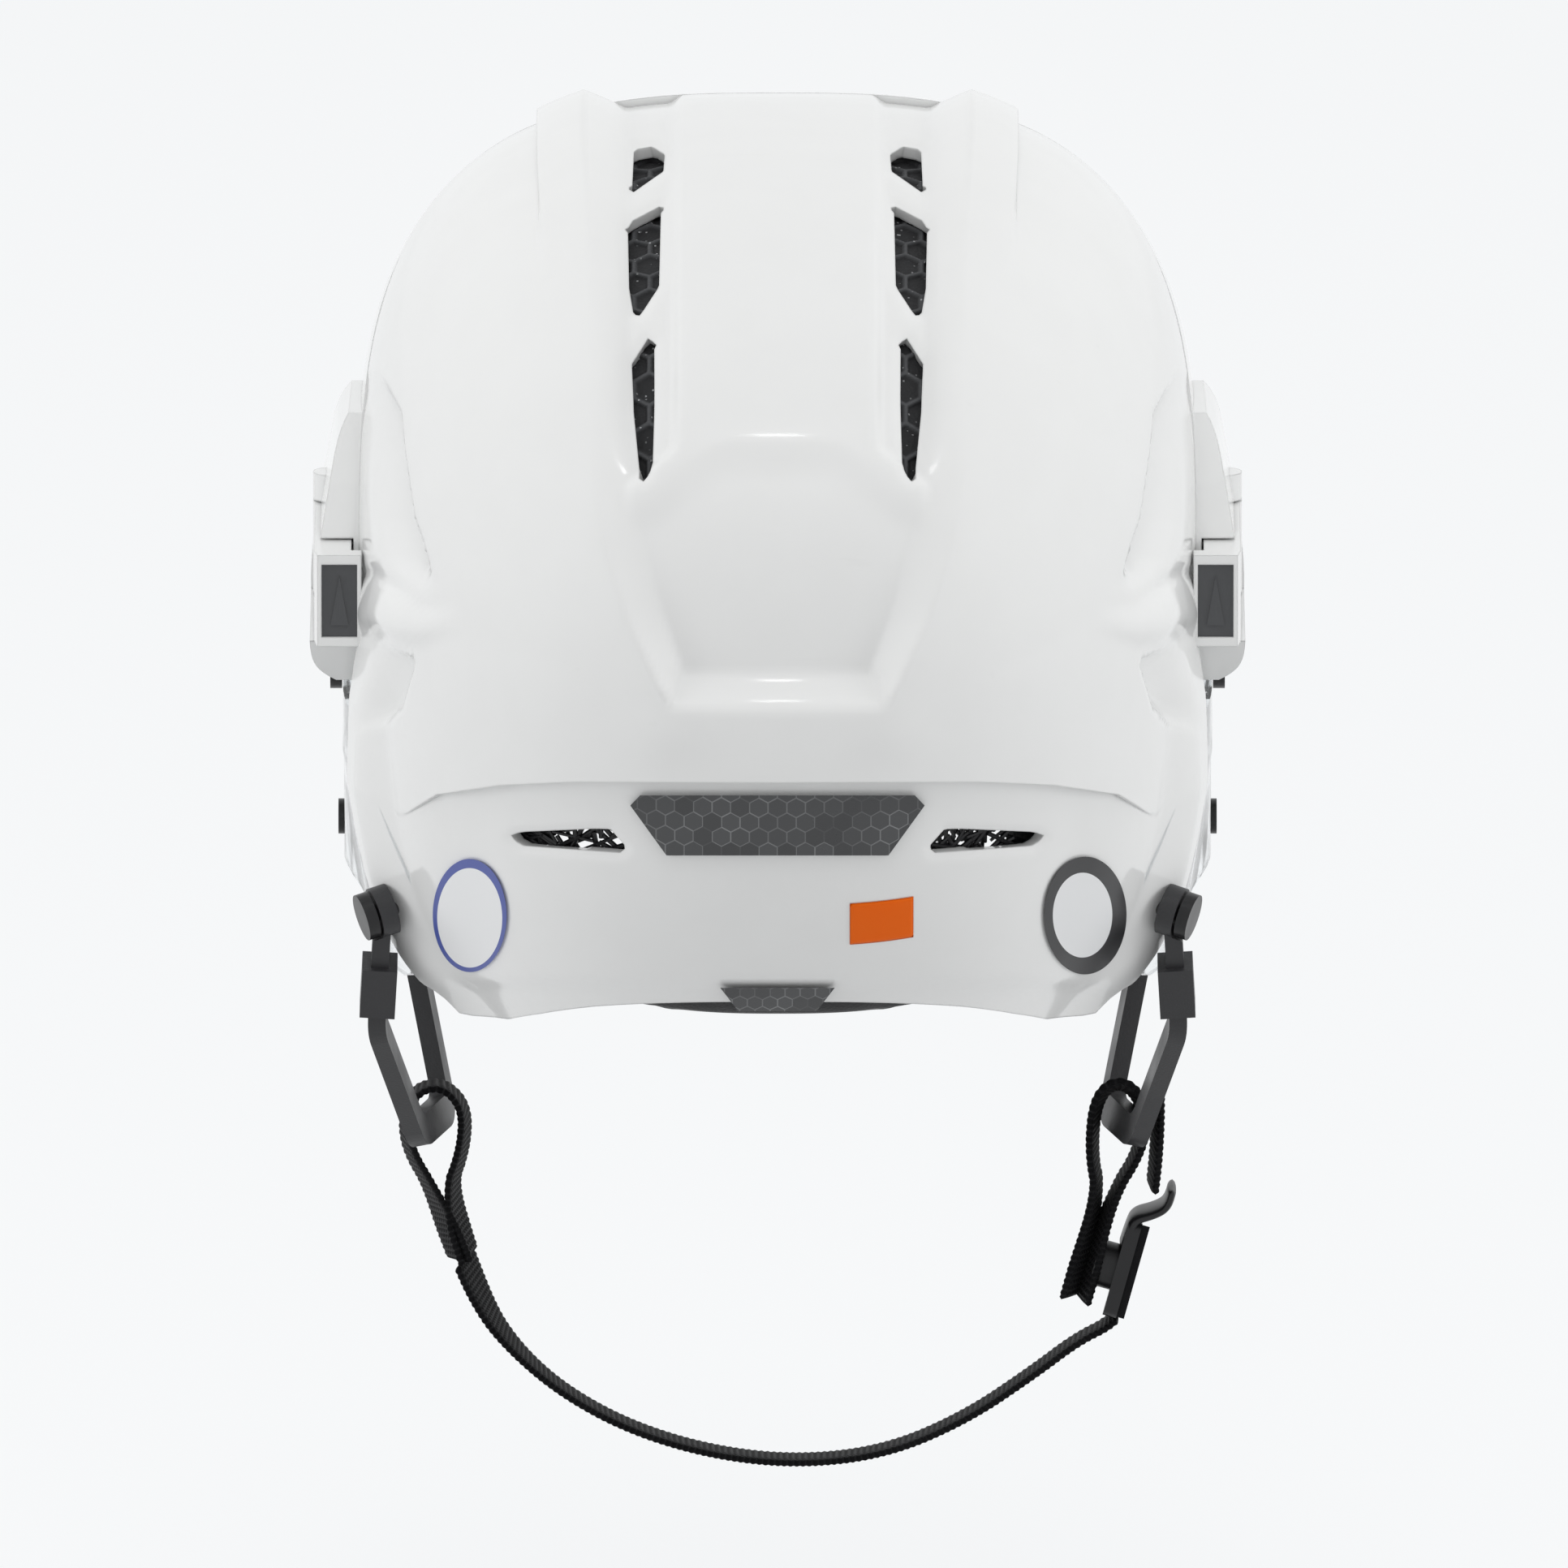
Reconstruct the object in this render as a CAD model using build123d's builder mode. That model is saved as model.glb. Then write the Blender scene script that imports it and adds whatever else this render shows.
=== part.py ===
from build123d import *
from math import asin, atan2, cos, degrees, hypot, radians, sin, tan
import os

os.makedirs("parts", exist_ok=True)

# Ice hockey helmet, level as worn: X across the head, Y towards the face, Z up.
# The origin is the middle of the head at ear level. Lengths in mm, angles in degrees.

# Outer dome, a superellipse swept about a crosswise pivot line
half_width = 107.0
crown_height = 117.0
back_depth = 155.0
front_depth = 112.0
drop_depth = 153.0
pivot_y = 20.0
pivot_z = 35.0
core_radius = 25.0
fan_shares = (0.1, 0.555, 0.5)
full_turn = 118.0
squareness = 2.45
crown_squareness = 0.55
mould_tilt = 15.0

# Shell walls and the seam between the two halves
shell_wall = 3.2
ridge_wall = 3.0
seam_gap = 1.0
slide_travel = 24.0
tongue_length = 30.0
tongue_wall = 3.0
tongue_gap = 0.8
lip_length = 8.0
lip_step = 0.8
split_height = 94.0
split_gap = 2.0
overrun = 60.0

# Raised ridges and the channel between them
ridge_rise = 4.6
ridge_crest = 47.0
ridge_outer = 59.0
ridge_slope = 1.6
channel_base = 39.0
channel_depth = 1.9
channel_drop = 1.8
hump_half = 27.0
hump_drop = 3.2
throat_crest = 28.0
throat_base = 22.5
throat_half = 15.0
throat_climb = 7.0
ridge_end = 1.6
ridge_foot = 2.6
ramp_reach = 25.0
ramp_lift = 2.8
vent_corner = 0.6

# Lower band, shelf, badge and stickers
band_depth = 4.0
band_flat = 75.0
band_fade = 98.0
pocket_depth = 4.6
badge_thick = 2.2
badge_gap = 0.6
plate_thick = 0.8
sticker_thick = 0.5
sticker_glue = 0.1
sticker_pitch = 122.8
sticker_margin = 4.0
oval_x = 77.7
oval_half_width = 9.4
oval_half_height = 14.3
round_half_width = 10.5
round_half_height = 14.9
scoop_depth = 1.4

# Padding
pad_gap = 0.4
pad_depth = 20.0
pad_thin = 6.0
side_pad_start = 9.0
front_pad_y = 70.0
pad_hem = 2.0
brow_pad_depth = 17.0
brow_pad_top = 91.0
pad_split = 4.0
crown_pad_half = 80.0
nape_pad_half = 92.0
nape_hem = 5.0
nape_hem_half = 67.0
nape_gap = 0.8
tongue_turn = 42.0
pad_turn = 112.0
brow_turn = 58.0
crown_turn = 44.0
lattice_wall = 2.6
lattice_gap = 1.0
lattice_bar = 1.8
lattice_cell = 7.2
window_margin = 2.5
lattice_margin = 2.0
lattice_rows = 3

# Temple housing, lever, lock pad and rack
housing_sink = 1.6
lever_height = 24.0
lever_z = 34.6
lever_outer = 117.2
lever_inner = 107.8
lever_rear_y = -27.0
lever_foot = 5.2
lever_foot_x = 105.2
hinge_x = 113.6
hinge_y = 28.0
hinge_radius = 4.2
pin_radius = 1.5
pin_reach = 7.0
fit_gap = 0.3
lever_gap = 0.5
lever_bevel = 5.0
lever_bevel_in = 0.8
insert_width = 9.0
insert_height = 19.0
insert_depth = 4.0
insert_sink = 0.8
relief_width = 4.5
relief_height = 12.7
relief_slope = 80.0
relief_rise = 0.6
pad_front_y = 16.0
pad_rear_y = 3.0
pad_height = 10.0
pad_travel = 2.0
rack_outer = 101.2
rack_wall = 2.6
rack_height = 12.0
rack_front_y = 46.0
rack_rear_y = -46.0
tooth_pitch = 4.0
tooth_depth = 0.9
rack_slot = 3.0
rack_seat = 0.1

# Ear guard, ear loop and screws
guard_wall = 2.5
guard_x = 107.6
guard_gap = 0.6
guard_stations = (-56.0, -42.0, -24.0, -4.0, 20.0, 44.0)
front_stations = (64.0, 80.0, 96.0)
guard_levels = (9.0, -20.0, -45.0, -70.0)
screw_radius = 2.2
screw_head_radius = 6.0
screw_head = 3.0
bore_reach = 15.0
rear_screw_y = -45.0
rear_screw_z = -39.7
front_screw_y = 52.0
front_screw_z = -3.0
head_gap = 0.6
nut_radius = 5.4
nut_wall = 2.6
nut_gap = 3.0
rivet_radius = 2.0
rivet_head_radius = 4.5
rivet_head = 1.6
loop_wide = 8.0
loop_thick = 4.5
eyelet_radius = 6.5
clip_wrap = 2.2
clip_length = 13.0
clip_along = 0.66
loop_bend = 11.0

# Chin strap, its sewn ends and the snap
strap_width = 15.0
strap_thick = 2.0
strap_y = 5.0
ply_gap = 0.2
loop_fold_radius = 3.0
stud_radius = 6.0
stud_length = 6.6
stud_reach = 1.1
socket_gap = 0.3
snap_plate_long = 25.0
snap_plate_wide = 17.0
snap_plate_thick = 3.5
plate_corner = 3.0
stud_rise = 10.3
hook_thick = 1.6
hook_rise = 4.0
hook_reach = 10.5
hook_tilt = 37.0
hook_gap = 0.4
arc_share = 0.45

# Cage holes in the brow
cage_hole_radius = 2.6
cage_hole_spacing = 60.0
cage_hole_z = 76.0
cage_relief = 5.0
front_vent_x = 33.0
front_vent_y = 82.0
front_vent_long = 34.0
front_vent_wide = 7.0


# Outlines in side view, as shares of the dome's sizes from the pivot line
seam_shares = [
    (0.196, 1.2),
    (0.161, 0.897),
    (-0.052, 0.513),
    (-0.181, 0.214),
    (-0.271, -0.033),
    (-0.323, -0.261),
    (-0.361, -0.49),
    (-0.413, -0.66),
    (-0.43, -0.85),
]
rim_shares = [(-1.12, -0.556), (-0.774, -0.556), (-0.516, -0.647), (-0.413, -0.66), (-0.1, -0.66)]
face_shares = [
    (-0.45, -0.176),
    (-0.303, -0.176),
    (-0.15, -0.2),
    (0.05, -0.222),
    (0.2, -0.29),
    (0.37, -0.33),
    (0.55, -0.24),
    (0.69, -0.02),
    (0.84, 0.115),
    (1.2, 0.13),
]
guard_shares = [
    (-0.484, -0.42),
    (-0.47, -0.52),
    (-0.41, -0.6),
    (-0.26, -0.655),
    (-0.15, -0.64),
    (-0.06, -0.57),
    (0.12, -0.55),
    (0.36, -0.58),
    (0.42, -0.5),
    (0.5, -0.36),
    (0.64, -0.28),
    (0.64, -0.19),
    (-0.3, -0.19),
    (-0.42, -0.25),
]
housing_shares = [
    (-0.25, 0.1),
    (-0.235, 0.25),
    (-0.12, 0.35),
    (0.1, 0.36),
    (0.22, 0.26),
    (0.24, 0.0),
    (0.2, -0.12),
    (0.05, -0.165),
    (-0.2, -0.165),
    (-0.255, -0.08),
]

# Temple housing in front view, as shares of the half width and the crown height
temple_shares = [
    (0.95, 0.43),
    (0.985, 0.39),
    (1.025, 0.335),
    (1.055, 0.24),
    (1.078, 0.12),
    (1.1, 0.0),
    (1.106, -0.12),
    (1.09, -0.18),
    (1.055, -0.21),
    (0.98, -0.24),
]

# Ear loop's path from the rear screw to the front rivet, as shares of the half width,
# the back depth and the drop depth from the middle of the head
loop_shares = [
    (0.949, -0.271, -0.4706),
    (0.855, -0.0774, -0.712),
    (0.79, 0.129, -0.7255),
    (0.86, 0.271, -0.51),
    (0.98, 0.3355, -0.28),
]

# Outlines in rear view, as shares of the half width with the pitch angle on the dome
top_vent_shares = [(0.335, 14.1), (0.295, 13.7), (0.264, 16.9), (0.267, 21.0), (0.338, 24.7)]
mid_vent_shares = [
    (0.273, 28.6),
    (0.28, 43.0),
    (0.324, 47.3),
    (0.338, 47.2),
    (0.347, 42.8),
    (0.345, 32.7),
    (0.335, 31.2),
]
low_vent_shares = [
    (0.301, 51.3),
    (0.286, 51.9),
    (0.285, 67.3),
    (0.303, 68.0),
    (0.319, 67.6),
    (0.338, 56.8),
    (0.338, 54.5),
]
slot_shares = [
    (0.626, 108.6),
    (0.613, 107.6),
    (0.437, 103.7),
    (0.399, 103.3),
    (0.363, 104.8),
    (0.374, 105.4),
    (0.609, 108.9),
]
badge_shares = [(0.323, 99.1), (0.346, 100.3), (0.261, 105.2), (0.0, 105.2), (0.0, 98.5)]
size_plate_shares = [(0.135, 120.6), (0.092, 123.8), (0.0, 123.8), (0.0, 120.6)]
scoop_shares = [
    (0.97, 24.0),
    (0.93, 40.4),
    (0.898, 49.2),
    (0.879, 61.9),
    (0.858, 70.1),
    (0.836, 76.0),
    (0.85, 91.2),
    (0.883, 101.0),
    (0.97, 122.0),
]


def ease(value, start, end):
    share = min(1.0, max(0.0, (value - start) / (end - start)))
    return share * share * (3 - 2 * share)


def reach(pitch):
    along = sin(radians(pitch)) / (back_depth if pitch >= 0 else front_depth)
    up = cos(radians(pitch)) / (crown_height if abs(pitch) <= 90 else drop_depth)
    return 1 / hypot(along, up)


def power(pitch):
    return squareness + crown_squareness * cos(radians(pitch)) ** 2


def dome_x(y, z, rise=0.0):
    pitch = degrees(atan2(pivot_y - y, z - pivot_z))
    spread = hypot(pivot_y - y, z - pivot_z) / (reach(pitch) + rise)
    return (half_width + rise) * max(0.0, 1 - spread ** power(pitch)) ** (1 / power(pitch))


def rear_point(x, pitch, rise):
    share = (1 - (abs(x) / half_width) ** power(pitch)) ** (1 / power(pitch))
    return (x * (half_width + rise) / half_width, (reach(pitch) + rise) * share)


def side_limit(pitch):
    return half_width * (1 - (core_radius / reach(pitch)) ** power(pitch)) ** (1 / power(pitch))


def pitch_plane(pitch, y, z):
    along, up = sin(radians(pitch)), cos(radians(pitch))
    return Plane(origin=(0, y, z), x_dir=(1, 0, 0), z_dir=(0, -up, -along))


def lane(x, pitch):
    angle = asin(min(1.0, abs(x) / half_width) ** (power(pitch) / 2))
    return angle if x >= 0 else -angle


def rear_band(pitches, low, high, left=-half_width, right=half_width):
    faces = []
    steps = 16 if left * right < 0 else 8
    for pitch in pitches:
        limit = side_limit(pitch)
        start = lane(max(-limit, left), pitch)
        end = lane(min(limit, right), pitch)
        angles = [start + (end - start) * i / steps for i in range(steps + 1)]
        xs = [half_width * abs(sin(a)) ** (2 / power(pitch)) * (1 if a >= 0 else -1) for a in angles]
        with BuildSketch(pitch_plane(pitch, pivot_y, pivot_z)) as section:
            with BuildLine():
                top = [rear_point(x, pitch, high(x, pitch)) for x in xs]
                bottom = [rear_point(x, pitch, low(x, pitch)) for x in xs]
                Spline(*top)
                Spline(*bottom)
                Line(top[0], bottom[0])
                Line(top[-1], bottom[-1])
            make_face()
        faces.append(section.sketch)
    with BuildPart() as band:
        loft(sections=faces)
    return band.part


# Sections of the front half fan out from a lower crosswise line, clear of the temples
fan_y = pivot_y - fan_shares[0] * back_depth
fan_z = pivot_z - fan_shares[1] * drop_depth
fan_rise = fan_shares[2] * crown_height


def outside(x, y, z, rise):
    pitch = degrees(atan2(pivot_y - y, z - pivot_z))
    spread = hypot(pivot_y - y, z - pivot_z) / (reach(pitch) + rise)
    return (abs(x) / (half_width + rise)) ** power(pitch) + spread ** power(pitch) > 1


def front_point(turn, fan, rise):
    near, far = 0.0, 3 * half_width
    for _ in range(48):
        mid = (near + far) / 2
        x, out = mid * sin(radians(turn)), fan_rise + mid * cos(radians(turn))
        y, z = fan_y - out * sin(radians(fan)), fan_z + out * cos(radians(fan))
        near, far = (near, mid) if outside(x, y, z, rise) else (mid, far)
    return (near * sin(radians(turn)), fan_rise + near * cos(radians(turn)))


def even_turns(start, end):
    steps = 8 if start * end > 0 else 16
    return [start + (end - start) * i / steps for i in range(steps + 1)]


def front_band(fans, low, high, start=-full_turn, end=full_turn):
    faces = []
    for fan in fans:
        turns = even_turns(start, end)
        with BuildSketch(pitch_plane(fan, fan_y, fan_z)) as section:
            with BuildLine():
                top = [front_point(turn, fan, high) for turn in turns]
                bottom = [front_point(turn, fan, low) for turn in turns]
                Spline(*top)
                Spline(*bottom)
                Line(top[0], bottom[0])
                Line(top[-1], bottom[-1])
            make_face()
        faces.append(section.sketch)
    with BuildPart() as band:
        loft(sections=faces)
    return band.part


def front_core(fans, rise):
    faces = []
    for fan in fans:
        with BuildSketch(pitch_plane(fan, fan_y, fan_z)) as section:
            with BuildLine():
                arc = [front_point(turn, fan, rise) for turn in even_turns(-full_turn, full_turn)]
                Spline(*arc)
                Line(arc[0], arc[-1])
            make_face()
        faces.append(section.sketch)
    with BuildPart() as core:
        loft(sections=faces)
    return core.part


def side_point(along, up):
    depth = front_depth if along > 0 else back_depth
    height = crown_height if up > 0 else drop_depth
    return (pivot_y + along * depth, pivot_z + up * height)


side_plane = Plane.YZ
half_span = half_width + overrun
roof = pivot_z + crown_height + overrun
nose = pivot_y + front_depth + overrun
tail = pivot_y - back_depth - overrun


def side_block(points, x_from=-half_span, x_to=half_span):
    with BuildPart() as block:
        with BuildSketch(side_plane.offset(x_from)):
            with BuildLine():
                Polyline(*points, close=True)
            make_face()
        extrude(amount=x_to - x_from)
    return block.part


def seam_line(shift):
    return [(y + shift, z) for y, z in (side_point(*share) for share in seam_shares)]


def seam_strip(behind, ahead, low, high):
    points = seam_line(ahead) + seam_line(behind)[::-1]
    window = [(tail, low), (nose, low), (nose, high), (tail, high)]
    return side_block(points) & side_block(window)


def rear_side(shift=0.0):
    return side_block(seam_line(shift) + [(tail, side_point(*rim_shares[-1])[1] - overrun), (tail, roof)])


def front_side(shift=0.0):
    return side_block(seam_line(shift) + [(nose, side_point(*rim_shares[-1])[1] - overrun), (nose, roof)])


def below(shares, drop=0.0, x_from=-half_span, x_to=half_span):
    points = [(y, z - drop) for y, z in (side_point(*share) for share in shares)]
    floor_z = min(z for _, z in points) - overrun
    return side_block(points + [(points[-1][0], floor_z), (points[0][0], floor_z)], x_from, x_to)


# The rear view looks along the mould's pull, so vents and badge are cut that way.
# Its plane lies behind the part and faces away, so a negative amount cuts forwards.
pull = Vector(0, cos(radians(mould_tilt)), -sin(radians(mould_tilt)))
view_plane = Plane(origin=pull * tail, x_dir=(1, 0, 0), z_dir=-pull)


def view_point(x, pitch):
    local_x, out = rear_point(x, pitch, 0.0)
    y, z = pivot_y - out * sin(radians(pitch)), pivot_z + out * cos(radians(pitch))
    return (local_x, z * cos(radians(mould_tilt)) + y * sin(radians(mould_tilt)))


def view_outline(shares, side):
    return [view_point(side * share * half_width, pitch) for share, pitch in shares]


def view_cutter(points, radius=0.0, grow=0.0):
    with BuildPart() as cutter:
        with BuildSketch(view_plane) as outline:
            with BuildLine():
                Polyline(*points, close=True)
            make_face()
            if grow:
                offset(amount=grow, kind=Kind.INTERSECTION)
            if radius:
                fillet(outline.vertices(), radius)
        extrude(amount=tail)
    return cutter.part


def view_ellipse(centre, across, up):
    with BuildPart() as cutter:
        with BuildSketch(view_plane):
            with Locations(centre):
                Ellipse(across, up)
        extrude(amount=tail)
    return cutter.part


def both_ways(shares):
    half = view_outline([share for share in shares if share[0] > 0], 1)
    return half + [(-x, v) for x, v in half[::-1]]


def rod(origin, direction, radius, length):
    with BuildPart(Plane(origin=origin, z_dir=direction)) as bar:
        Cylinder(radius, length, align=(Align.CENTER, Align.CENTER, Align.MIN))
    return bar.part


def dome_normal(side, y, z):
    step = fit_gap
    along = (dome_x(y + step, z) - dome_x(y - step, z)) / (2 * step)
    up = (dome_x(y, z + step) - dome_x(y, z - step)) / (2 * step)
    return Vector(side, -along, -up).normalized()


def wall_depth(x, pitch):
    middle = 1 - ease(abs(x), ridge_crest, ridge_outer + 2 * ridge_rise)
    lower = 1 - ease(abs(x), band_flat, band_fade)
    above = 1 - ease(pitch, 98, 106)
    return shell_wall + ridge_wall * middle * above + band_depth * ease(pitch, 94, 103) * lower


def band_rise(x, pitch):
    return -band_depth * (1 - ease(abs(x), band_flat, band_fade))


def flat(depth):
    return lambda x, pitch: -depth


# Rear shell
even_pitches = [-14 + 12.2 * i for i in range(14)]
shell_blank = rear_band(even_pitches, lambda x, t: -wall_depth(x, t), flat(0))


def ridge_section(side, pitch):
    rise = ridge_rise - (ridge_rise + ridge_end) * ease(pitch, 8, 43)
    middle = (ridge_crest + ridge_outer) / 2
    inner = ridge_crest - ridge_slope
    outer = ridge_outer + ridge_slope
    top = [rear_point(side * x, pitch, rise) for x in (ridge_crest, middle, ridge_outer)]
    foot = [rear_point(side * x, pitch, -ridge_foot) for x in (outer, middle, inner)]
    with BuildSketch(pitch_plane(pitch, pivot_y, pivot_z)) as section:
        with BuildLine():
            Spline(*top)
            Line(top[-1], foot[0])
            Spline(*foot)
            Line(foot[-1], top[0])
        make_face()
    return section.sketch


def channel_section(pitch):
    narrowing = ease(pitch, 62, 90)
    crest = ridge_crest + (throat_crest - ridge_crest) * narrowing
    base = channel_base + (throat_base - channel_base) * narrowing
    hump = hump_half + (throat_half - hump_half) * narrowing
    climb = throat_climb * ease(pitch, 83, 93)
    side = climb - channel_depth - channel_drop * ease(pitch, 20, 60)
    middle = climb - hump_drop * ease(pitch, 62, 72)
    ramp = channel_depth / (crest - base)
    far = base + ramp_reach
    lip = side + ramp_reach * ramp + ramp_lift
    left = [(-far, lip), (-base, side), (-hump, middle)]
    points = [rear_point(x, pitch, rise) for x, rise in left]
    mirrored = [(-x, out) for x, out in points[::-1]]
    centre = rear_point(0, pitch, middle)
    cap = rear_point(0, pitch, lip + channel_base)
    with BuildSketch(pitch_plane(pitch, pivot_y, pivot_z)) as section:
        with BuildLine():
            Polyline(*points)
            Spline(points[-1], centre, mirrored[0])
            Polyline(*mirrored)
            Spline(mirrored[-1], cap, points[0])
        make_face()
    return section.sketch


def scoop_cutter(side):
    edge = [(side * x, v) for x, v in view_outline(scoop_shares, 1)]
    beyond = [(side * half_span, edge[-1][1]), (side * half_span, edge[0][1])]
    limits = sorted((side * (oval_x - sticker_thick), side * half_width))
    skin = rear_band((22, 40, 58, 76, 94, 112, 126), flat(scoop_depth), flat(-band_depth), *limits)
    return skin & view_cutter(edge + beyond)


def slot_window(side, grow):
    return view_cutter(view_outline(slot_shares, side), grow=grow)


rear_region = rear_side()
rear_rim = below(rim_shares)
crown_pitches = (-44, -30, -16, -2, 12, 26, 40)
tongue_top = shell_wall + tongue_gap
tongue_low = tongue_top + tongue_wall
crown_strip = seam_strip(lip_step - lip_length, tongue_length, split_height + split_gap, roof)
crown_lip = seam_strip(-lip_length, -lip_step, split_height + split_gap - lip_step, roof)
under_tongue = rear_band(crown_pitches, flat(tongue_low), flat(tongue_top))
under_lip = rear_band(crown_pitches, flat(tongue_low - lip_step), flat(shell_wall / 2))
band_pitches = (98.6, 105, 112, 122, 134, 150)
badge_pocket = rear_band((94, 97, 100, 103, 106), flat(pocket_depth), flat(-band_depth))
badge_points = both_ways(badge_shares)
plate_points = both_ways(size_plate_shares)

with BuildPart() as rear_shell:
    add(shell_blank)
    for side in (-1, 1):
        with BuildPart(mode=Mode.ADD):
            loft(sections=[ridge_section(side, pitch) for pitch in (-13, 0, 12, 24, 36, 45)])
    add(rear_region, mode=Mode.INTERSECT)
    add([under_lip & crown_lip, under_tongue & crown_strip])
    with BuildPart(mode=Mode.SUBTRACT):
        loft(sections=[channel_section(pitch) for pitch in (-15, 0, 15, 30, 45, 60, 70, 80, 86, 93)])
    add(rear_band(band_pitches, band_rise, flat(-band_depth)), mode=Mode.SUBTRACT)
    openings = []
    for side in (-1, 1):
        openings.append(scoop_cutter(side))
        for shares in (top_vent_shares, mid_vent_shares, low_vent_shares, slot_shares):
            openings.append(view_cutter(view_outline(shares, side), radius=vent_corner))
        seat = Vector(side * dome_x(rear_screw_y, rear_screw_z), rear_screw_y, rear_screw_z)
        normal = dome_normal(side, rear_screw_y, rear_screw_z)
        openings.append(rod(seat - normal * bore_reach, normal, screw_radius + fit_gap, 2 * bore_reach))
    openings.append(badge_pocket & view_cutter(badge_points, grow=badge_gap))
    openings.append(rear_rim)
    add(openings, mode=Mode.SUBTRACT)
rear_shell.part.label = "rear_shell"
export_step(rear_shell.part, "parts/rear_shell.step")


# Badge, size plate and plain stickers on the band
with BuildPart() as badge_plate:
    add(rear_band((94, 97, 100, 103, 106), flat(pocket_depth), flat(pocket_depth - badge_thick)))
    add(view_cutter(badge_points), mode=Mode.INTERSECT)
badge_plate.part.label = "badge_plate"
export_step(badge_plate.part, "parts/badge_plate.step")

with BuildPart() as size_plate:
    add(rear_band((112, 122, 134), flat(band_depth), flat(band_depth - plate_thick)))
    add(view_cutter(plate_points), mode=Mode.INTERSECT)
size_plate.part.label = "size_plate"
export_step(size_plate.part, "parts/size_plate.step")


def sticker(side, across, up):
    x, v = view_point(side * oval_x, sticker_pitch)
    reach_out = side * (oval_x + across + sticker_margin)
    reach_in = side * (oval_x - across - sticker_margin)
    low = lambda x, pitch: band_rise(x, pitch) + sticker_glue
    high = lambda x, pitch: low(x, pitch) + sticker_thick
    skin = rear_band(band_pitches, low, high, *sorted((reach_in, reach_out)))
    return skin & view_ellipse((x, v), across, up)


with BuildPart() as label_oval:
    add(sticker(-1, oval_half_width, oval_half_height))
label_oval.part.label = "label_oval"
export_step(label_oval.part, "parts/label_oval.step")

with BuildPart() as label_round:
    add(sticker(1, round_half_width, round_half_height))
label_round.part.label = "label_round"
export_step(label_round.part, "parts/label_round.step")


# Padding of the rear half: crown, two sides and the nape
def pad_low(x, pitch):
    return -max(pad_depth, wall_depth(x, pitch) + pad_gap + pad_thin)


def pad_high(x, pitch):
    return -max(tongue_low + pad_gap, wall_depth(x, pitch) + pad_gap)


crown_window = seam_strip(tail, tongue_length - split_gap, split_height + split_gap, roof)
with BuildPart() as crown_liner:
    add(rear_band((-40, -24, -8, 8, 24, 40), pad_low, pad_high, -crown_pad_half, crown_pad_half))
    add(crown_window, mode=Mode.INTERSECT)
crown_liner.part.label = "crown_liner"
export_step(crown_liner.part, "parts/crown_liner.step")

rear_pad_region = rear_side(-tongue_length - split_gap)
for side, name in ((-1, "left"), (1, "right")):
    limits = sorted((side * pad_split / 2, side * half_width))
    with BuildPart() as rear_liner:
        add(rear_band((43, 55, 67, 79, 91, 101), pad_low, pad_high, *limits))
        add(rear_pad_region, mode=Mode.INTERSECT)
        add([slot_window(side, window_margin), rear_rim], mode=Mode.SUBTRACT)
    rear_liner.part.label = "rear_liner_" + name
    export_step(rear_liner.part, "parts/rear_liner_" + name + ".step")


def nape_high(x, pitch):
    return -wall_depth(x, pitch) - nape_gap


with BuildPart() as occipital_pad:
    add(rear_band((103, 110, 118, 127, 138, 150), pad_low, nape_high, -nape_pad_half, nape_pad_half))
    add(rear_pad_region, mode=Mode.INTERSECT)
    cuts = [slot_window(-1, window_margin), slot_window(1, window_margin)]
    cuts.append(below(rim_shares, nape_hem))
    cuts.append(below(rim_shares, 0.0, nape_hem_half, half_span))
    cuts.append(below(rim_shares, 0.0, -half_span, -nape_hem_half))
    add(cuts, mode=Mode.SUBTRACT)
occipital_pad.part.label = "occipital_pad"
export_step(occipital_pad.part, "parts/occipital_pad.step")


# Open lattice seen through the lower slots
def lattice_low(x, pitch):
    return lattice_high(x, pitch) - lattice_wall


def lattice_high(x, pitch):
    return -wall_depth(x, pitch) - lattice_gap


for side, name in ((-1, "left"), (1, "right")):
    points = view_outline(slot_shares, side)
    middle_x = sum(x for x, _ in points) / len(points)
    middle_v = sum(v for _, v in points) / len(points)
    reach_x = max(abs(x - middle_x) for x, _ in points) + window_margin + lattice_cell
    columns = 2 * int(2 * reach_x / lattice_cell) + 1
    with BuildPart() as nape_lattice:
        limits = (middle_x - reach_x, middle_x + reach_x)
        add(rear_band((97, 101, 105, 109, 114), lattice_low, lattice_high, *limits))
        add(slot_window(side, lattice_margin), mode=Mode.INTERSECT)
        with BuildPart(mode=Mode.SUBTRACT):
            with BuildSketch(view_plane):
                with Locations((middle_x, middle_v)):
                    with GridLocations(lattice_cell / 2, lattice_cell / 2, columns, lattice_rows) as grid:
                        cells = [spot for i, spot in enumerate(grid.locations) if i % 2 == 0]
                with Locations(*cells):
                    RegularPolygon((lattice_cell - lattice_bar) / 2, 4)
            extrude(amount=tail)
    nape_lattice.part.label = "nape_lattice_" + name
    export_step(nape_lattice.part, "parts/nape_lattice_" + name + ".step")


# Front shell, with side tongues under the rear half and a temple housing on each side
fans = (50, 38, 26, 14, 2, -10, -22, -34, -46, -58)
front_region = front_side(seam_gap)
face_opening = below(face_shares)
lever_low = lever_z - lever_height / 2
lever_high = lever_z + lever_height / 2
slot_half = rack_height / 2 + rack_slot
tongue_strip = seam_strip(-tongue_length, lip_length - lip_step, tail, split_height)
lip_strip = seam_strip(seam_gap + lip_step, lip_length, tail, split_height - lip_step)
core = front_core(fans, -housing_sink)
outline_face = [(half_width * share, pivot_z + crown_height * up) for share, up in temple_shares]
side_fans = (54, 42, 30, 18, 6, -6, -18)


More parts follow.
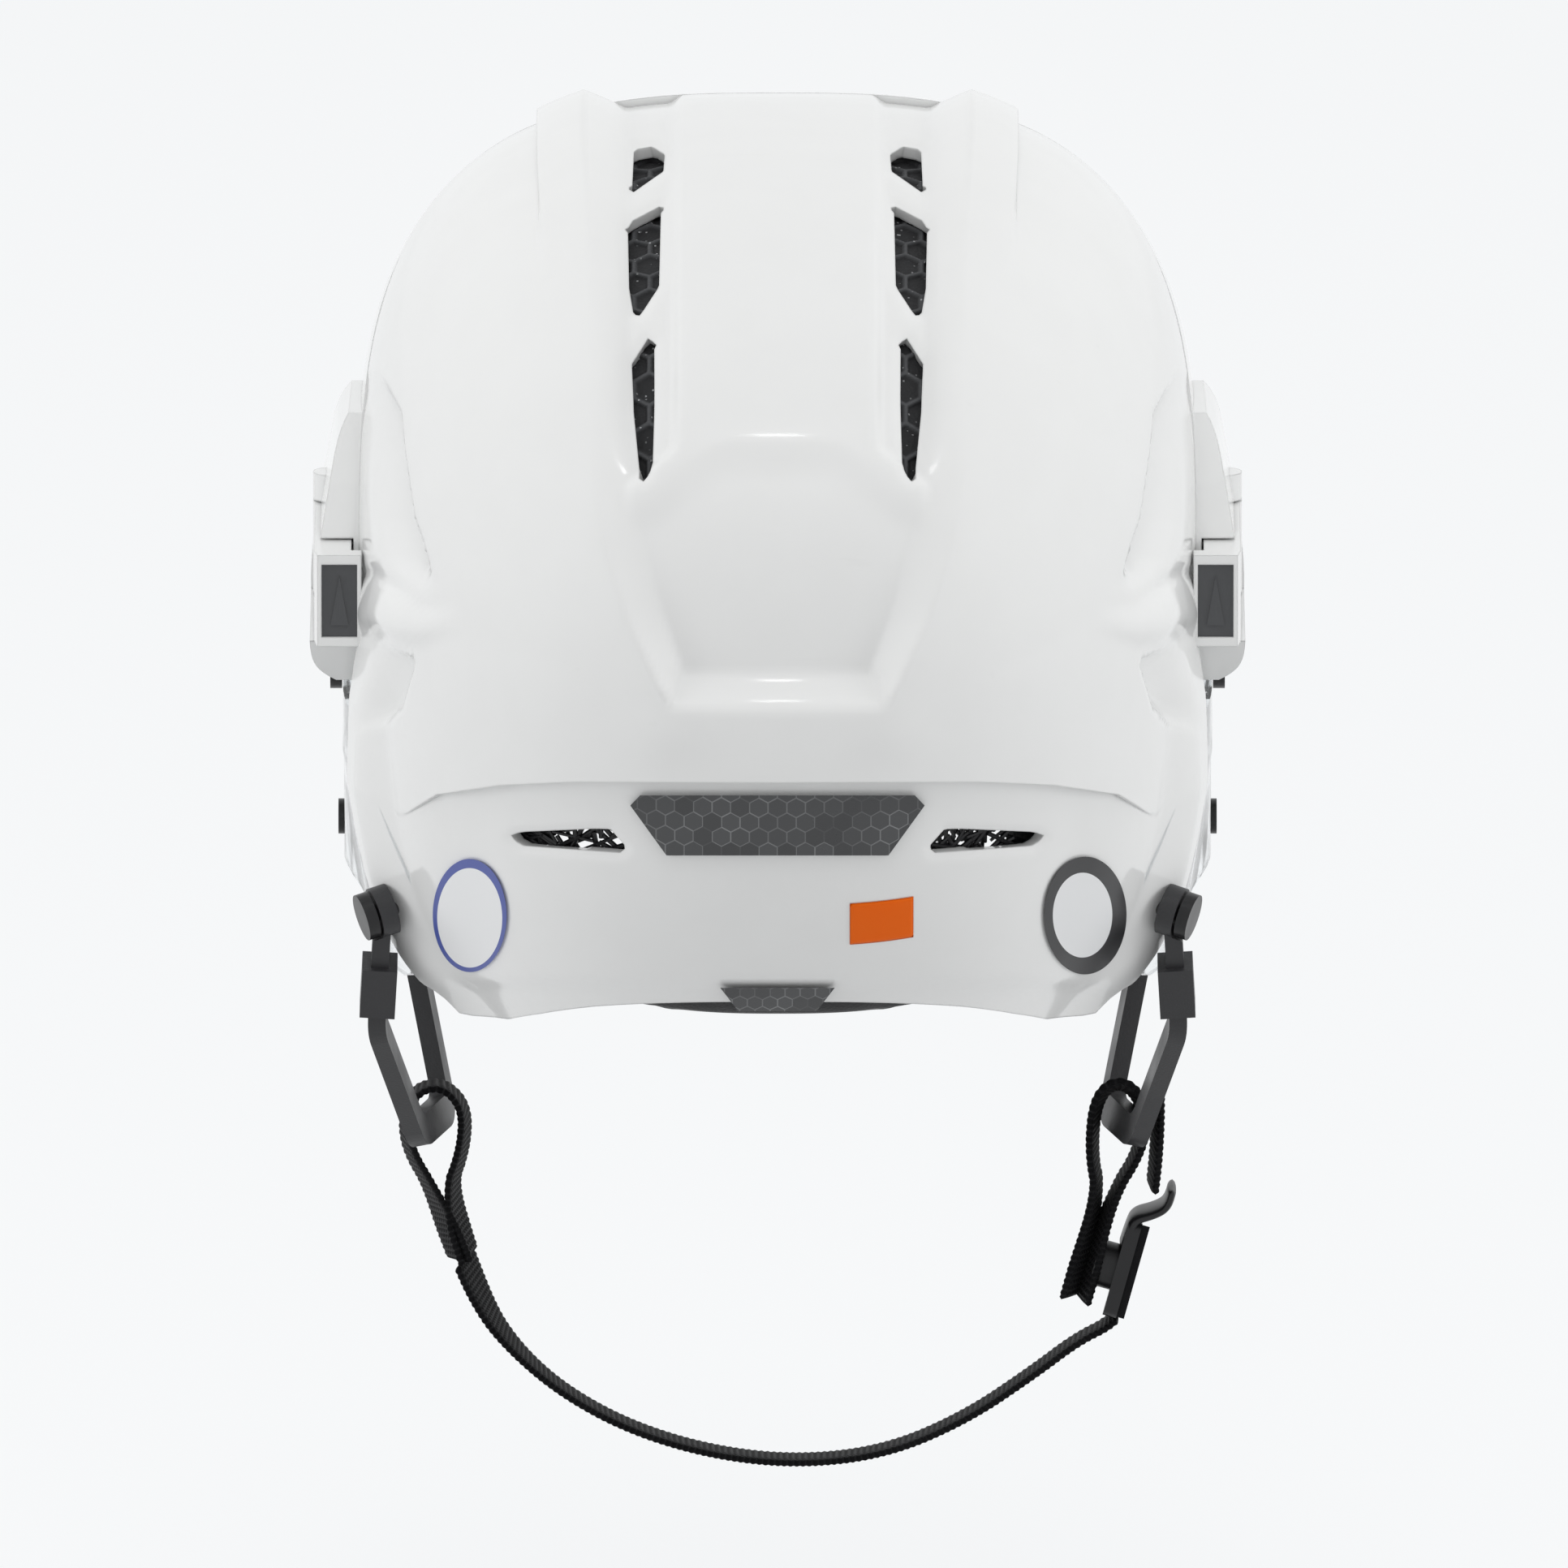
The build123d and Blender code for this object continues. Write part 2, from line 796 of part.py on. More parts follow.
def box_between(x_from, x_to, y_from, y_to, z_from, z_to):
    with BuildPart() as block:
        with BuildSketch(Plane.XY.offset(z_from)):
            with BuildLine():
                Polyline((x_from, y_from), (x_to, y_from), (x_to, y_to), (x_from, y_to), close=True)
            make_face()
        extrude(amount=z_to - z_from)
    return block.part


def side_tongue(side):
    start, end = (tongue_turn, full_turn) if side > 0 else (-full_turn, -tongue_turn)
    tongue = front_band(side_fans, -tongue_low, -tongue_top, start, end) & tongue_strip
    lip = front_band(side_fans, lip_step - tongue_low, -shell_wall / 2, start, end) & lip_strip
    with BuildPart() as joined:
        add([tongue, lip])
        slot = box_between(-half_span, half_span, tail, nose, lever_z - slot_half, lever_z + slot_half)
        add(slot, mode=Mode.SUBTRACT)
    return joined.part


def pin_rod(side):
    foot = (side * hinge_x, hinge_y, lever_low - pin_reach)
    return rod(foot, (0, 0, 1), pin_radius, lever_height + 2 * pin_reach)


def temple_housing(side):
    with BuildPart() as profile:
        with BuildSketch(Plane.XZ.offset(-nose)):
            with BuildLine():
                points = [(side * x, z) for x, z in outline_face]
                Spline(*points)
                inner = (side * (half_width - pad_depth), points[-1][1])
                Polyline(points[-1], inner, (inner[0], points[0][1]), points[0])
            make_face()
        extrude(amount=nose - tail)
    pocket_x = lever_inner - lever_gap
    pocket = box_between(
        side * pocket_x,
        side * half_span,
        tail,
        hinge_y + hinge_radius + lever_gap,
        lever_low - lever_gap,
        lever_high + lever_gap,
    )
    with BuildPart() as housing:
        add(side_block([side_point(*share) for share in housing_shares]))
        add(profile.part, mode=Mode.INTERSECT)
        add(front_side(seam_gap + lip_step), mode=Mode.INTERSECT)
        for low in (lever_low - lever_gap - pin_reach, lever_high + lever_gap):
            add(rod((side * hinge_x, hinge_y, low), (0, 0, 1), hinge_radius, pin_reach))
        add([core, pocket], mode=Mode.SUBTRACT)
        add(pin_rod(side), mode=Mode.SUBTRACT)
    return housing.part


cage_spots = (-cage_hole_spacing / 2, cage_hole_spacing / 2)


def cage_bores(radius):
    return [rod((x, pivot_y, cage_hole_z), (0, 1, 0), radius, nose) for x in cage_spots]


with BuildPart() as front_shell:
    add(front_band(fans, -shell_wall, 0))
    add(front_region, mode=Mode.INTERSECT)
    add([side_tongue(-1), side_tongue(1), temple_housing(-1), temple_housing(1)])
    holes = [face_opening] + cage_bores(cage_hole_radius)
    for side in (-1, 1):
        holes.append(
            box_between(
                side * (rack_outer - rack_wall),
                side * (lever_inner + fit_gap),
                pad_rear_y - fit_gap,
                pad_front_y + fit_gap,
                lever_z - pad_height / 2 - fit_gap,
                lever_z + pad_height / 2 + fit_gap,
            )
        )
        holes.append(rod((0, front_screw_y, front_screw_z), (side, 0, 0), screw_radius, half_span))
        with BuildPart() as vent:
            with BuildSketch():
                with Locations((side * front_vent_x, front_vent_y)):
                    SlotOverall(front_vent_long, front_vent_wide, rotation=90)
            extrude(amount=roof)
        holes.append(vent.part)
    add(holes, mode=Mode.SUBTRACT)
front_shell.part.label = "front_shell"
export_step(front_shell.part, "parts/front_shell.step")


# Padding of the front half
side_pad_window = [(tail, tail), (front_pad_y, tail), (front_pad_y, brow_pad_top), (tail, brow_pad_top)]
brow_from = front_pad_y + pad_hem
brow_window = [(brow_from, tail), (nose, tail), (nose, brow_pad_top), (brow_from, brow_pad_top)]
for side, name in ((-1, "left"), (1, "right")):
    start, end = (tongue_turn, pad_turn) if side > 0 else (-pad_turn, -tongue_turn)
    with BuildPart() as front_liner:
        add(front_band((48, 34, 20, 6, -8, -22, -36, -50), -pad_depth, -side_pad_start, start, end))
        add(front_side(pad_hem - tongue_length), mode=Mode.INTERSECT)
        add(side_block(side_pad_window), mode=Mode.INTERSECT)
        add(below(face_shares, -pad_hem), mode=Mode.SUBTRACT)
    front_liner.part.label = "front_liner_" + name
    export_step(front_liner.part, "parts/front_liner_" + name + ".step")

with BuildPart() as brow_pad:
    add(front_band((-24, -33, -42, -51, -60), -brow_pad_depth, -shell_wall - pad_gap, -brow_turn, brow_turn))
    add(side_block(brow_window), mode=Mode.INTERSECT)
    add([below(face_shares, -pad_hem)] + cage_bores(cage_relief), mode=Mode.SUBTRACT)
brow_pad.part.label = "brow_pad"
export_step(brow_pad.part, "parts/brow_pad.step")

with BuildPart() as front_crown_liner:
    add(front_band((0, -9, -18, -27, -36), -pad_depth, -shell_wall - pad_gap, -crown_turn, crown_turn))
    add(front_side(tongue_length + pad_hem), mode=Mode.INTERSECT)
    high = [(tail, split_height + split_gap), (nose, split_height + split_gap), (nose, roof), (tail, roof)]
    add(side_block(high), mode=Mode.INTERSECT)
front_crown_liner.part.label = "front_crown_liner"
export_step(front_crown_liner.part, "parts/front_crown_liner.step")


# Levers, their inserts, hinge pins, lock pads and racks
rack_core = front_core(side_fans, -shell_wall - rack_seat)
for side, name in ((-1, "left"), (1, "right")):
    outline = [
        (lever_foot_x, lever_rear_y),
        (lever_outer - lever_bevel_in, lever_rear_y),
        (lever_outer, lever_rear_y + lever_bevel),
        (lever_outer, hinge_y),
        (hinge_x - hinge_radius, hinge_y),
        (lever_inner, hinge_y - lever_bevel),
        (lever_inner, lever_rear_y + lever_foot),
        (lever_foot_x, lever_rear_y + lever_foot),
    ]
    insert_x = side * (lever_foot_x + lever_outer - lever_bevel_in) / 2
    insert_plane = Plane(origin=(insert_x, lever_rear_y, lever_z), x_dir=(1, 0, 0), z_dir=(0, -1, 0))
    with BuildPart() as lever:
        with BuildSketch(Plane.XY.offset(lever_low)):
            with BuildLine():
                Polyline(*[(side * x, y) for x, y in outline], close=True)
            make_face()
        extrude(amount=lever_height)
        add(rod((side * hinge_x, hinge_y, lever_low), (0, 0, 1), hinge_radius, lever_height))
        add(
            [
                rod((side * hinge_x, hinge_y, lever_low), (0, 0, 1), pin_radius + fit_gap, lever_height),
                box_between(
                    side * (lever_inner - lever_gap),
                    side * (lever_inner + pad_travel + fit_gap),
                    pad_rear_y - 2 * fit_gap,
                    pad_front_y + 2 * fit_gap,
                    lever_z - pad_height / 2 - 2 * fit_gap,
                    lever_z + pad_height / 2 + 2 * fit_gap,
                ),
            ],
            mode=Mode.SUBTRACT,
        )
        with BuildSketch(insert_plane):
            Rectangle(insert_width, insert_height)
        extrude(amount=-insert_depth, mode=Mode.SUBTRACT)
    lever.part.label = "lever_" + name
    export_step(lever.part, "parts/lever_" + name + ".step")

    with BuildPart() as lever_insert:
        with BuildSketch(insert_plane.offset(-insert_depth)):
            Rectangle(insert_width, insert_height)
        extrude(amount=insert_depth - insert_sink)
        with BuildSketch(insert_plane.offset(-insert_sink)):
            Trapezoid(relief_width, relief_height, relief_slope)
        extrude(amount=relief_rise)
    lever_insert.part.label = "lever_insert_" + name
    export_step(lever_insert.part, "parts/lever_insert_" + name + ".step")

    with BuildPart() as lever_pin:
        add(pin_rod(side))
    lever_pin.part.label = "lever_pin_" + name
    export_step(lever_pin.part, "parts/lever_pin_" + name + ".step")

    teeth = int((pad_front_y - pad_rear_y) / tooth_pitch)
    with BuildPart() as lock_pad:
        add(
            box_between(
                side * (rack_outer + fit_gap),
                side * (lever_inner - fit_gap),
                pad_rear_y,
                pad_front_y,
                lever_z - pad_height / 2,
                lever_z + pad_height / 2,
            )
        )
        with BuildSketch(Plane.XY.offset(lever_z)):
            with Locations((side * (rack_outer + fit_gap), (pad_front_y + pad_rear_y) / 2)):
                with GridLocations(0, tooth_pitch, 1, teeth):
                    Rectangle(2 * tooth_depth, tooth_pitch / 2)
        extrude(amount=pad_height, both=True, mode=Mode.SUBTRACT)
    lock_pad.part.label = "lock_pad_" + name
    export_step(lock_pad.part, "parts/lock_pad_" + name + ".step")

    notches = int((rack_front_y - lever_rear_y) / tooth_pitch) - 1
    with BuildPart() as lock_rack:
        add(
            box_between(
                side * (rack_outer - rack_wall),
                side * rack_outer,
                rack_rear_y,
                rack_front_y,
                lever_z - rack_height / 2,
                lever_z + rack_height / 2,
            )
        )
        with BuildSketch(Plane.XY.offset(lever_z)):
            with Locations((side * rack_outer, (rack_front_y + lever_rear_y) / 2)):
                with GridLocations(0, tooth_pitch, 1, notches):
                    Rectangle(2 * tooth_depth, tooth_pitch / 2)
        extrude(amount=rack_height, both=True, mode=Mode.SUBTRACT)
        add(rack_core, mode=Mode.INTERSECT)
    lock_rack.part.label = "lock_rack_" + name
    export_step(lock_rack.part, "parts/lock_rack_" + name + ".step")


# Clear ear guards, ear loops and their fasteners
def guard_line(side, level, wall):
    rear, heel, cheek, *flat_part = guard_stations
    points = [(dome_x(y, level) + guard_gap, y) for y in (rear, heel)]
    points.append(((dome_x(cheek, level) + guard_x) / 2, cheek))
    points += [(guard_x, y) for y in flat_part]
    points += [(dome_x(y - slide_travel, front_screw_z) + guard_gap, y) for y in front_stations]
    return [(side * (x + wall), y) for x, y in points]


for side, name in ((-1, "left"), (1, "right")):
    normal = dome_normal(side, rear_screw_y, rear_screw_z)
    seat = Vector(side * dome_x(rear_screw_y, rear_screw_z), rear_screw_y, rear_screw_z)
    guard_out = seat + normal * (guard_gap + guard_wall)
    eyelet_from = guard_out + normal * head_gap
    eyelet_mid = eyelet_from + normal * (loop_thick / 2)
    head_from = eyelet_from + normal * (loop_thick + head_gap)
    nut_from = seat - normal * (shell_wall + nut_gap + nut_wall)
    path_points = [eyelet_mid]
    for across, along, up in loop_shares:
        path_points.append(Vector(side * across * half_width, along * back_depth, up * drop_depth))
    rivet_spot = path_points[-1]
    rivet_dir = (side, 0, 0)
    eye_x = guard_x - head_gap - loop_thick
    rivet_from = Vector(side * eye_x, rivet_spot.Y, rivet_spot.Z)
    rivet_seat = Vector(side * (guard_x + guard_wall), rivet_spot.Y, rivet_spot.Z)

    with BuildPart() as ear_guard:
        for level in guard_levels:
            with BuildSketch(Plane.XY.offset(level)):
                with BuildLine():
                    inner_line = guard_line(side, level, 0.0)
                    outer_line = guard_line(side, level, guard_wall)
                    Spline(*inner_line)
                    Spline(*outer_line)
                    Line(inner_line[0], outer_line[0])
                    Line(inner_line[-1], outer_line[-1])
                make_face()
        loft()
        outline = [side_point(*share) for share in guard_shares]
        add(side_block(outline), mode=Mode.INTERSECT)
        with BuildSketch(Plane.YZ):
            with Locations((front_screw_y + slide_travel / 2, front_screw_z)):
                SlotCenterToCenter(slide_travel, 2 * (screw_radius + fit_gap))
        extrude(amount=side * half_span, mode=Mode.SUBTRACT)
        bores = [rod(seat - normal * bore_reach, normal, screw_radius + fit_gap, 2 * bore_reach)]
        bores.append(rod((0, rivet_spot.Y, rivet_spot.Z), rivet_dir, rivet_radius, half_span))
        add(bores, mode=Mode.SUBTRACT)
    ear_guard.part.label = "ear_guard_" + name
    export_step(ear_guard.part, "parts/ear_guard_" + name + ".step")

    with BuildPart() as ear_loop:
        with BuildLine() as path:
            FilletPolyline(*path_points, radius=loop_bend)
        with BuildSketch(Plane(origin=path.line @ 0, x_dir=(1, 0, 0), z_dir=path.line % 0)):
            Rectangle(loop_thick, loop_wide)
        sweep(transition=Transition.RIGHT)
        add(rod(eyelet_from, normal, eyelet_radius, loop_thick))
        add(rod(rivet_from, rivet_dir, eyelet_radius, loop_thick))
        head_room = rod(head_from - normal * head_gap, normal, screw_head_radius + head_gap, bore_reach)
        add([rod(seat, normal, screw_radius, bore_reach), head_room], mode=Mode.SUBTRACT)
        add(rod((0, rivet_spot.Y, rivet_spot.Z), rivet_dir, rivet_radius, half_span), mode=Mode.SUBTRACT)
        run = path_points[1] - path_points[0]
        clip_spot = path_points[0] + run * clip_along
        clip_plane = Plane(origin=clip_spot, x_dir=(1, 0, 0), z_dir=run)
    ear_loop.part.label = "ear_loop_" + name
    export_step(ear_loop.part, "parts/ear_loop_" + name + ".step")

    with BuildPart() as ear_loop_clip:
        with BuildSketch(clip_plane):
            Rectangle(loop_thick + 2 * clip_wrap, loop_wide + 2 * clip_wrap)
            Rectangle(loop_thick, loop_wide, mode=Mode.SUBTRACT)
        extrude(amount=clip_length / 2, both=True)
    ear_loop_clip.part.label = "ear_loop_clip_" + name
    export_step(ear_loop_clip.part, "parts/ear_loop_clip_" + name + ".step")

    with BuildPart() as rear_screw:
        shank = (head_from - nut_from).length
        add(rod(nut_from, normal, screw_radius, shank))
        add(rod(head_from, normal, screw_head_radius, screw_head))
    rear_screw.part.label = "rear_screw_" + name
    export_step(rear_screw.part, "parts/rear_screw_" + name + ".step")

    with BuildPart() as rear_nut:
        add(rod(nut_from, normal, nut_radius, nut_wall))
        add(rod(nut_from, normal, screw_radius, nut_wall), mode=Mode.SUBTRACT)
    rear_nut.part.label = "rear_nut_" + name
    export_step(rear_nut.part, "parts/rear_nut_" + name + ".step")

    with BuildPart() as loop_rivet:
        add(rod(rivet_from, rivet_dir, rivet_radius, (rivet_seat - rivet_from).length))
        add(rod(rivet_seat, rivet_dir, rivet_head_radius, rivet_head))
    loop_rivet.part.label = "loop_rivet_" + name
    export_step(loop_rivet.part, "parts/loop_rivet_" + name + ".step")

    wall_x = dome_x(front_screw_y, front_screw_z) - shell_wall
    head_x = guard_x + guard_wall + head_gap
    with BuildPart() as front_screw:
        add(rod((side * wall_x, front_screw_y, front_screw_z), rivet_dir, screw_radius, head_x - wall_x))
        add(rod((side * head_x, front_screw_y, front_screw_z), rivet_dir, screw_head_radius, screw_head))
    front_screw.part.label = "front_screw_" + name
    export_step(front_screw.part, "parts/front_screw_" + name + ".step")


# Chin strap: each piece is a flat band drawn in front view and drawn out along the pull
strap_plane = Plane(
    origin=Vector(0, strap_y, 0) - pull * (strap_width / 2),
    x_dir=(1, 0, 0),
    z_dir=(0, -1, 0),
)
left_end_route = [
    (-80.6, -147.0),
    (-86.2, -131.0),
    (-95.0, -116.0),
    (-93.5, -103.5),
    (-86.0, -100.0),
    (-79.5, -106.0),
    (-79.5, -117.0),
    (-84.1, -130.3),
    (-78.5, -146.3),
]
right_end_route = [
    (77.0, -157.0),
    (84.0, -131.5),
    (92.8, -117.0),
    (92.8, -105.0),
    (87.0, -99.6),
    (81.0, -104.0),
    (79.6, -118.0),
    (81.87, -130.9),
    (74.87, -156.4),
]
chin_route = [
    (-79.55, -146.65),
    (-75.0, -158.8),
    (-66.3, -171.0),
    (-54.0, -182.0),
    (-37.0, -191.5),
    (-16.0, -198.0),
    (6.0, -200.3),
    (28.0, -197.5),
    (48.0, -188.5),
    (65.0, -176.6),
    (76.0, -168.0),
    (84.6, -163.6),
]


def arc_radii(route):
    radii = []
    for before, corner, after in zip(route, route[1:], route[2:]):
        first = Vector(corner[0] - before[0], corner[1] - before[1])
        second = Vector(after[0] - corner[0], after[1] - corner[1])
        half_turn = radians(first.get_angle(second)) / 2
        radii.append(arc_share * min(first.length, second.length) / tan(half_turn))
    return radii


def strap_band(route):
    with BuildPart() as band:
        with BuildSketch(strap_plane):
            with BuildLine() as line:
                FilletPolyline(*route, radius=arc_radii(route))
            trace(line_width=strap_thick)
        extrude(amount=strap_width, dir=pull)
    return band.part, sum(edge.length for edge in line.line.edges())


straps = {"strap_end_left": left_end_route, "strap_end_right": right_end_route, "chin_strap": chin_route}
for name, route in straps.items():
    with BuildPart() as strap:
        band, length = strap_band(route)
        add(band)
    strap.part.label = name
    export_step(strap.part, "parts/" + name + ".step")
    section = strap_thick * strap_width * cos(radians(mould_tilt))
    print(name, "volume", round(strap.part.volume, 1), "section times length", round(section * length, 1))
    print(name, "radii", [round(radius, 1) for radius in arc_radii(route)])


# Snap: a stud on the right strap end, a plate with a hook and the strap's folded end
stud_start, stud_top = right_end_route[0], right_end_route[1]
ply = Vector(stud_top[0] - stud_start[0], 0, stud_top[1] - stud_start[1]).normalized()
snap_out = pull.cross(ply).normalized()
plate_up = snap_out.cross(pull)
stud_centre = Vector(stud_start[0], strap_y, stud_start[1]) + ply * stud_rise
stud_face = stud_centre + snap_out * (strap_thick / 2)
plate_face = stud_face + snap_out * (stud_length - stud_reach)
plate_plane = Plane(origin=plate_face, x_dir=pull, z_dir=snap_out)

with BuildPart() as snap_stud:
    add(rod(stud_face, snap_out, stud_radius, stud_length))
snap_stud.part.label = "snap_stud"
export_step(snap_stud.part, "parts/snap_stud.step")

with BuildPart() as snap_plate:
    with BuildSketch(plate_plane) as plate_sketch:
        Rectangle(snap_plate_wide, snap_plate_long)
        fillet(plate_sketch.vertices(), plate_corner)
    extrude(amount=snap_plate_thick)
    with BuildSketch(plate_plane):
        Circle(stud_radius + socket_gap)
    extrude(amount=stud_reach + socket_gap, mode=Mode.SUBTRACT)
snap_plate.part.label = "snap_plate"
export_step(snap_plate.part, "parts/snap_plate.step")

with BuildPart() as strap_cover:
    with BuildSketch(plate_plane.offset(snap_plate_thick)):
        Rectangle(strap_width, snap_plate_long - 2 * hook_gap)
    extrude(amount=strap_thick)
strap_cover.part.label = "strap_cover"
export_step(strap_cover.part, "parts/strap_cover.step")


def seen_along_pull(point):
    return (point.X, point.Z + (point.Y - strap_y) * tan(radians(mould_tilt)))


hook_foot = plate_face + plate_up * (snap_plate_long / 2) + snap_out * (hook_thick / 2)
hook_elbow = hook_foot + plate_up * hook_rise
hook_tip = hook_elbow + Vector(cos(radians(hook_tilt)), 0, sin(radians(hook_tilt))) * hook_reach
with BuildPart() as snap_hook:
    with BuildSketch(strap_plane):
        with BuildLine():
            Polyline(*[seen_along_pull(point) for point in (hook_foot, hook_elbow, hook_tip)])
        trace(line_width=hook_thick)
    extrude(amount=strap_width, dir=pull)
snap_hook.part.label = "snap_hook"
export_step(snap_hook.part, "parts/snap_hook.step")

tail_route = [(95.2, -127.9), (97.0, -114.0), (96.4, -99.0)]
with BuildPart() as strap_tail:
    add(strap_band(tail_route)[0])
strap_tail.part.label = "strap_tail"
export_step(strap_tail.part, "parts/strap_tail.step")
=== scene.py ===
"""Ice hockey helmet seen from behind: finishes, padding, vent nets, webbing, light and view."""

from __future__ import annotations

import logging
import math
from dataclasses import dataclass, field
from enum import Enum
from typing import Callable

import bpy
import numpy as np
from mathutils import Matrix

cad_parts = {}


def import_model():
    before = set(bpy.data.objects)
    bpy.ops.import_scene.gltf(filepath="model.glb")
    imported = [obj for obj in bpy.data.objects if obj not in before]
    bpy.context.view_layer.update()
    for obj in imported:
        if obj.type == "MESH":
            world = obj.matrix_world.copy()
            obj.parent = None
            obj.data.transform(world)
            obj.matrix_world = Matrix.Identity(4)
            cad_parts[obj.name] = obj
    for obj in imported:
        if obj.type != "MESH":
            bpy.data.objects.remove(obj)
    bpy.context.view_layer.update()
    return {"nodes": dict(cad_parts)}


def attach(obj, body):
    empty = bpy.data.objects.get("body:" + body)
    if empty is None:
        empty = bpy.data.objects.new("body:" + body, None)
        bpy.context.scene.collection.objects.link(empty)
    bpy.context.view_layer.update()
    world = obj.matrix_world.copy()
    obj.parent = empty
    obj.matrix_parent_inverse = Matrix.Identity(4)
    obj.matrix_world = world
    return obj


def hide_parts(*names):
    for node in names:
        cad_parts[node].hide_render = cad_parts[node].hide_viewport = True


log = logging.getLogger("helmet")

Array = np.ndarray
Colour = tuple[float, float, float, float]
Row = tuple[float, ...]
Pair = tuple[float, float]
Pairs = tuple[Pair, ...]
Socket = bpy.types.NodeSocket
Piece = bpy.types.Object
Feed = Socket | float | tuple

VIEW_TILT = math.radians(15.0)
HALVINGS = 30


class Side(Enum):
    """The wearer's two sides, with the sign of X on each."""

    LEFT = -1
    RIGHT = 1

    @property
    def label(self) -> str:
        """Name used in the part's nodes."""
        return self.name.lower()


# Curves and lines


def ease(value: Array, start: float, end: float) -> Array:
    """Share from 0 at start to 1 at end with level ends: 3s squared less 2s cubed."""
    share = np.clip((value - start) / (end - start), 0.0, 1.0)
    return share * share * (3.0 - 2.0 * share)


def fall(value: Array, start: float, end: float) -> Array:
    """Share from 1 at start to 0 at end with level ends."""
    return 1.0 - ease(value, start, end)


def bell(value: Array, width: float) -> Array:
    """Bell curve of height 1: e to the power of minus the square of value over width."""
    return np.exp(-((value / width) ** 2))


def quarter(share: Array) -> Array:
    """Quarter circle from 0 to 1: the root of 1 less the square of what is left of the share."""
    return np.sqrt(1.0 - (1.0 - np.clip(share, 0.0, 1.0)) ** 2)


def unit(vectors: Array) -> Array:
    """The same directions with a length of 1."""
    return vectors / np.linalg.norm(vectors, axis=-1, keepdims=True)


def way_along(line: Array) -> Array:
    """Way along a line of points to each of them."""
    return np.concatenate(([0.0], np.linalg.norm(np.diff(line, axis=0), axis=1).cumsum()))


def oval(sides: int, power: float) -> tuple[Array, Array]:
    """Places on a superellipse of radius 1.

    The reach is 1 over the sum of the powers of cosine and sine, taken to 1 over that power.
    """
    angle = np.linspace(0.0, 2.0 * math.pi, sides, endpoint=False)
    reach = (np.abs(np.cos(angle)) ** power + np.abs(np.sin(angle)) ** power) ** (-1.0 / power)
    return reach * np.cos(angle), reach * np.sin(angle)


def solve_between(test: Callable[[Array], Array], low: float, high: float, count: int) -> Array:
    """Halves each of some equal intervals until its test changes sign.

    Args:
        test: gives a value per entry that is above zero at low and below zero at high.
        low: lower end of every interval.
        high: upper end of every interval.
        count: number of intervals.

    Returns:
        The places where the test crosses zero.
    """
    lows, highs = np.full(count, low), np.full(count, high)
    for _ in range(HALVINGS):
        middle = (lows + highs) / 2.0
        above = test(middle) > 0.0
        lows, highs = np.where(above, middle, lows), np.where(above, highs, middle)
    return (lows + highs) / 2.0


def honeycomb_gap(across: Array, along: Array, cell: float) -> Array:
    """Distance to the nearest wall of a honeycomb.

    Two shifted rectangular lattices hold the cell middles. A point belongs to the nearer
    middle, and its gap is half a cell less its largest reach over the cell's three axes.

    Args:
        across: place across the pattern, in metres.
        along: place along the pattern, in metres.
        cell: distance between opposite walls, in metres.

    Returns:
        Distance to the wall, in metres.
    """
    root = math.sqrt(3.0)
    x, y = across / cell, along / cell
    first = np.stack((np.mod(x, 1.0) - 0.5, np.mod(y, root) - root / 2.0))
    second = np.stack((np.mod(x - 0.5, 1.0) - 0.5, np.mod(y - root / 2.0, root) - root / 2.0))
    nearer = (first**2).sum(axis=0) < (second**2).sum(axis=0)
    own = np.abs(np.where(nearer, first, second))
    return (0.5 - np.maximum(own[0], own[0] * 0.5 + own[1] * root / 2.0)) * cell


def polygon_gap(x: Array, v: Array, corners: Pairs) -> Array:
    """Signed distance to a polygon, above zero outside it.

    The least distance to its edges, with the sign from the number of edges that a level ray meets.

    Args:
        x: sideways places.
        v: heights across the view.
        corners: the polygon's corners as pairs of the same two.

    Returns:
        Array of the same shape as x.
    """
    gap = np.full(x.shape, np.inf)
    inside = np.zeros(x.shape, bool)
    for (ax, av), (bx, bv) in zip(corners, corners[1:] + corners[:1]):
        run_x, run_v = bx - ax, bv - av
        share = np.clip(((x - ax) * run_x + (v - av) * run_v) / (run_x**2 + run_v**2), 0.0, 1.0)
        gap = np.minimum(gap, np.hypot(x - ax - share * run_x, v - av - share * run_v))
        if av != bv:
            inside ^= ((av > v) != (bv > v)) & (x < ax + (v - av) * run_x / run_v)
    return np.where(inside, -gap, gap)


# Meshes


def grid_quads(rows: int, columns: int) -> Array:
    """Quads of a rectangular grid of points stored row by row, as an array of shape (faces, 4)."""
    index = np.arange(rows * columns).reshape(rows, columns)
    corners = (index[:-1, :-1], index[:-1, 1:], index[1:, 1:], index[1:, :-1])
    return np.stack(corners, axis=-1).reshape(-1, 4)


def tube_quads(rings: int, sides: int) -> Array:
    """Quads of a tube whose rings are stored one after another, as an array of shape (faces, 4)."""
    ring = np.arange(rings - 1)[:, None] * sides
    here = np.arange(sides)[None, :]
    after = (here + 1) % sides
    corners = (ring + here, ring + after, ring + sides + after, ring + sides + here)
    return np.stack(corners, axis=-1).reshape(-1, 4)


def spots_of(mesh: bpy.types.Mesh) -> Array:
    """Places of a mesh's points, as an array of shape (points, 3)."""
    spots = np.zeros(len(mesh.vertices) * 3)
    mesh.vertices.foreach_get("co", spots)
    return spots.reshape(-1, 3)


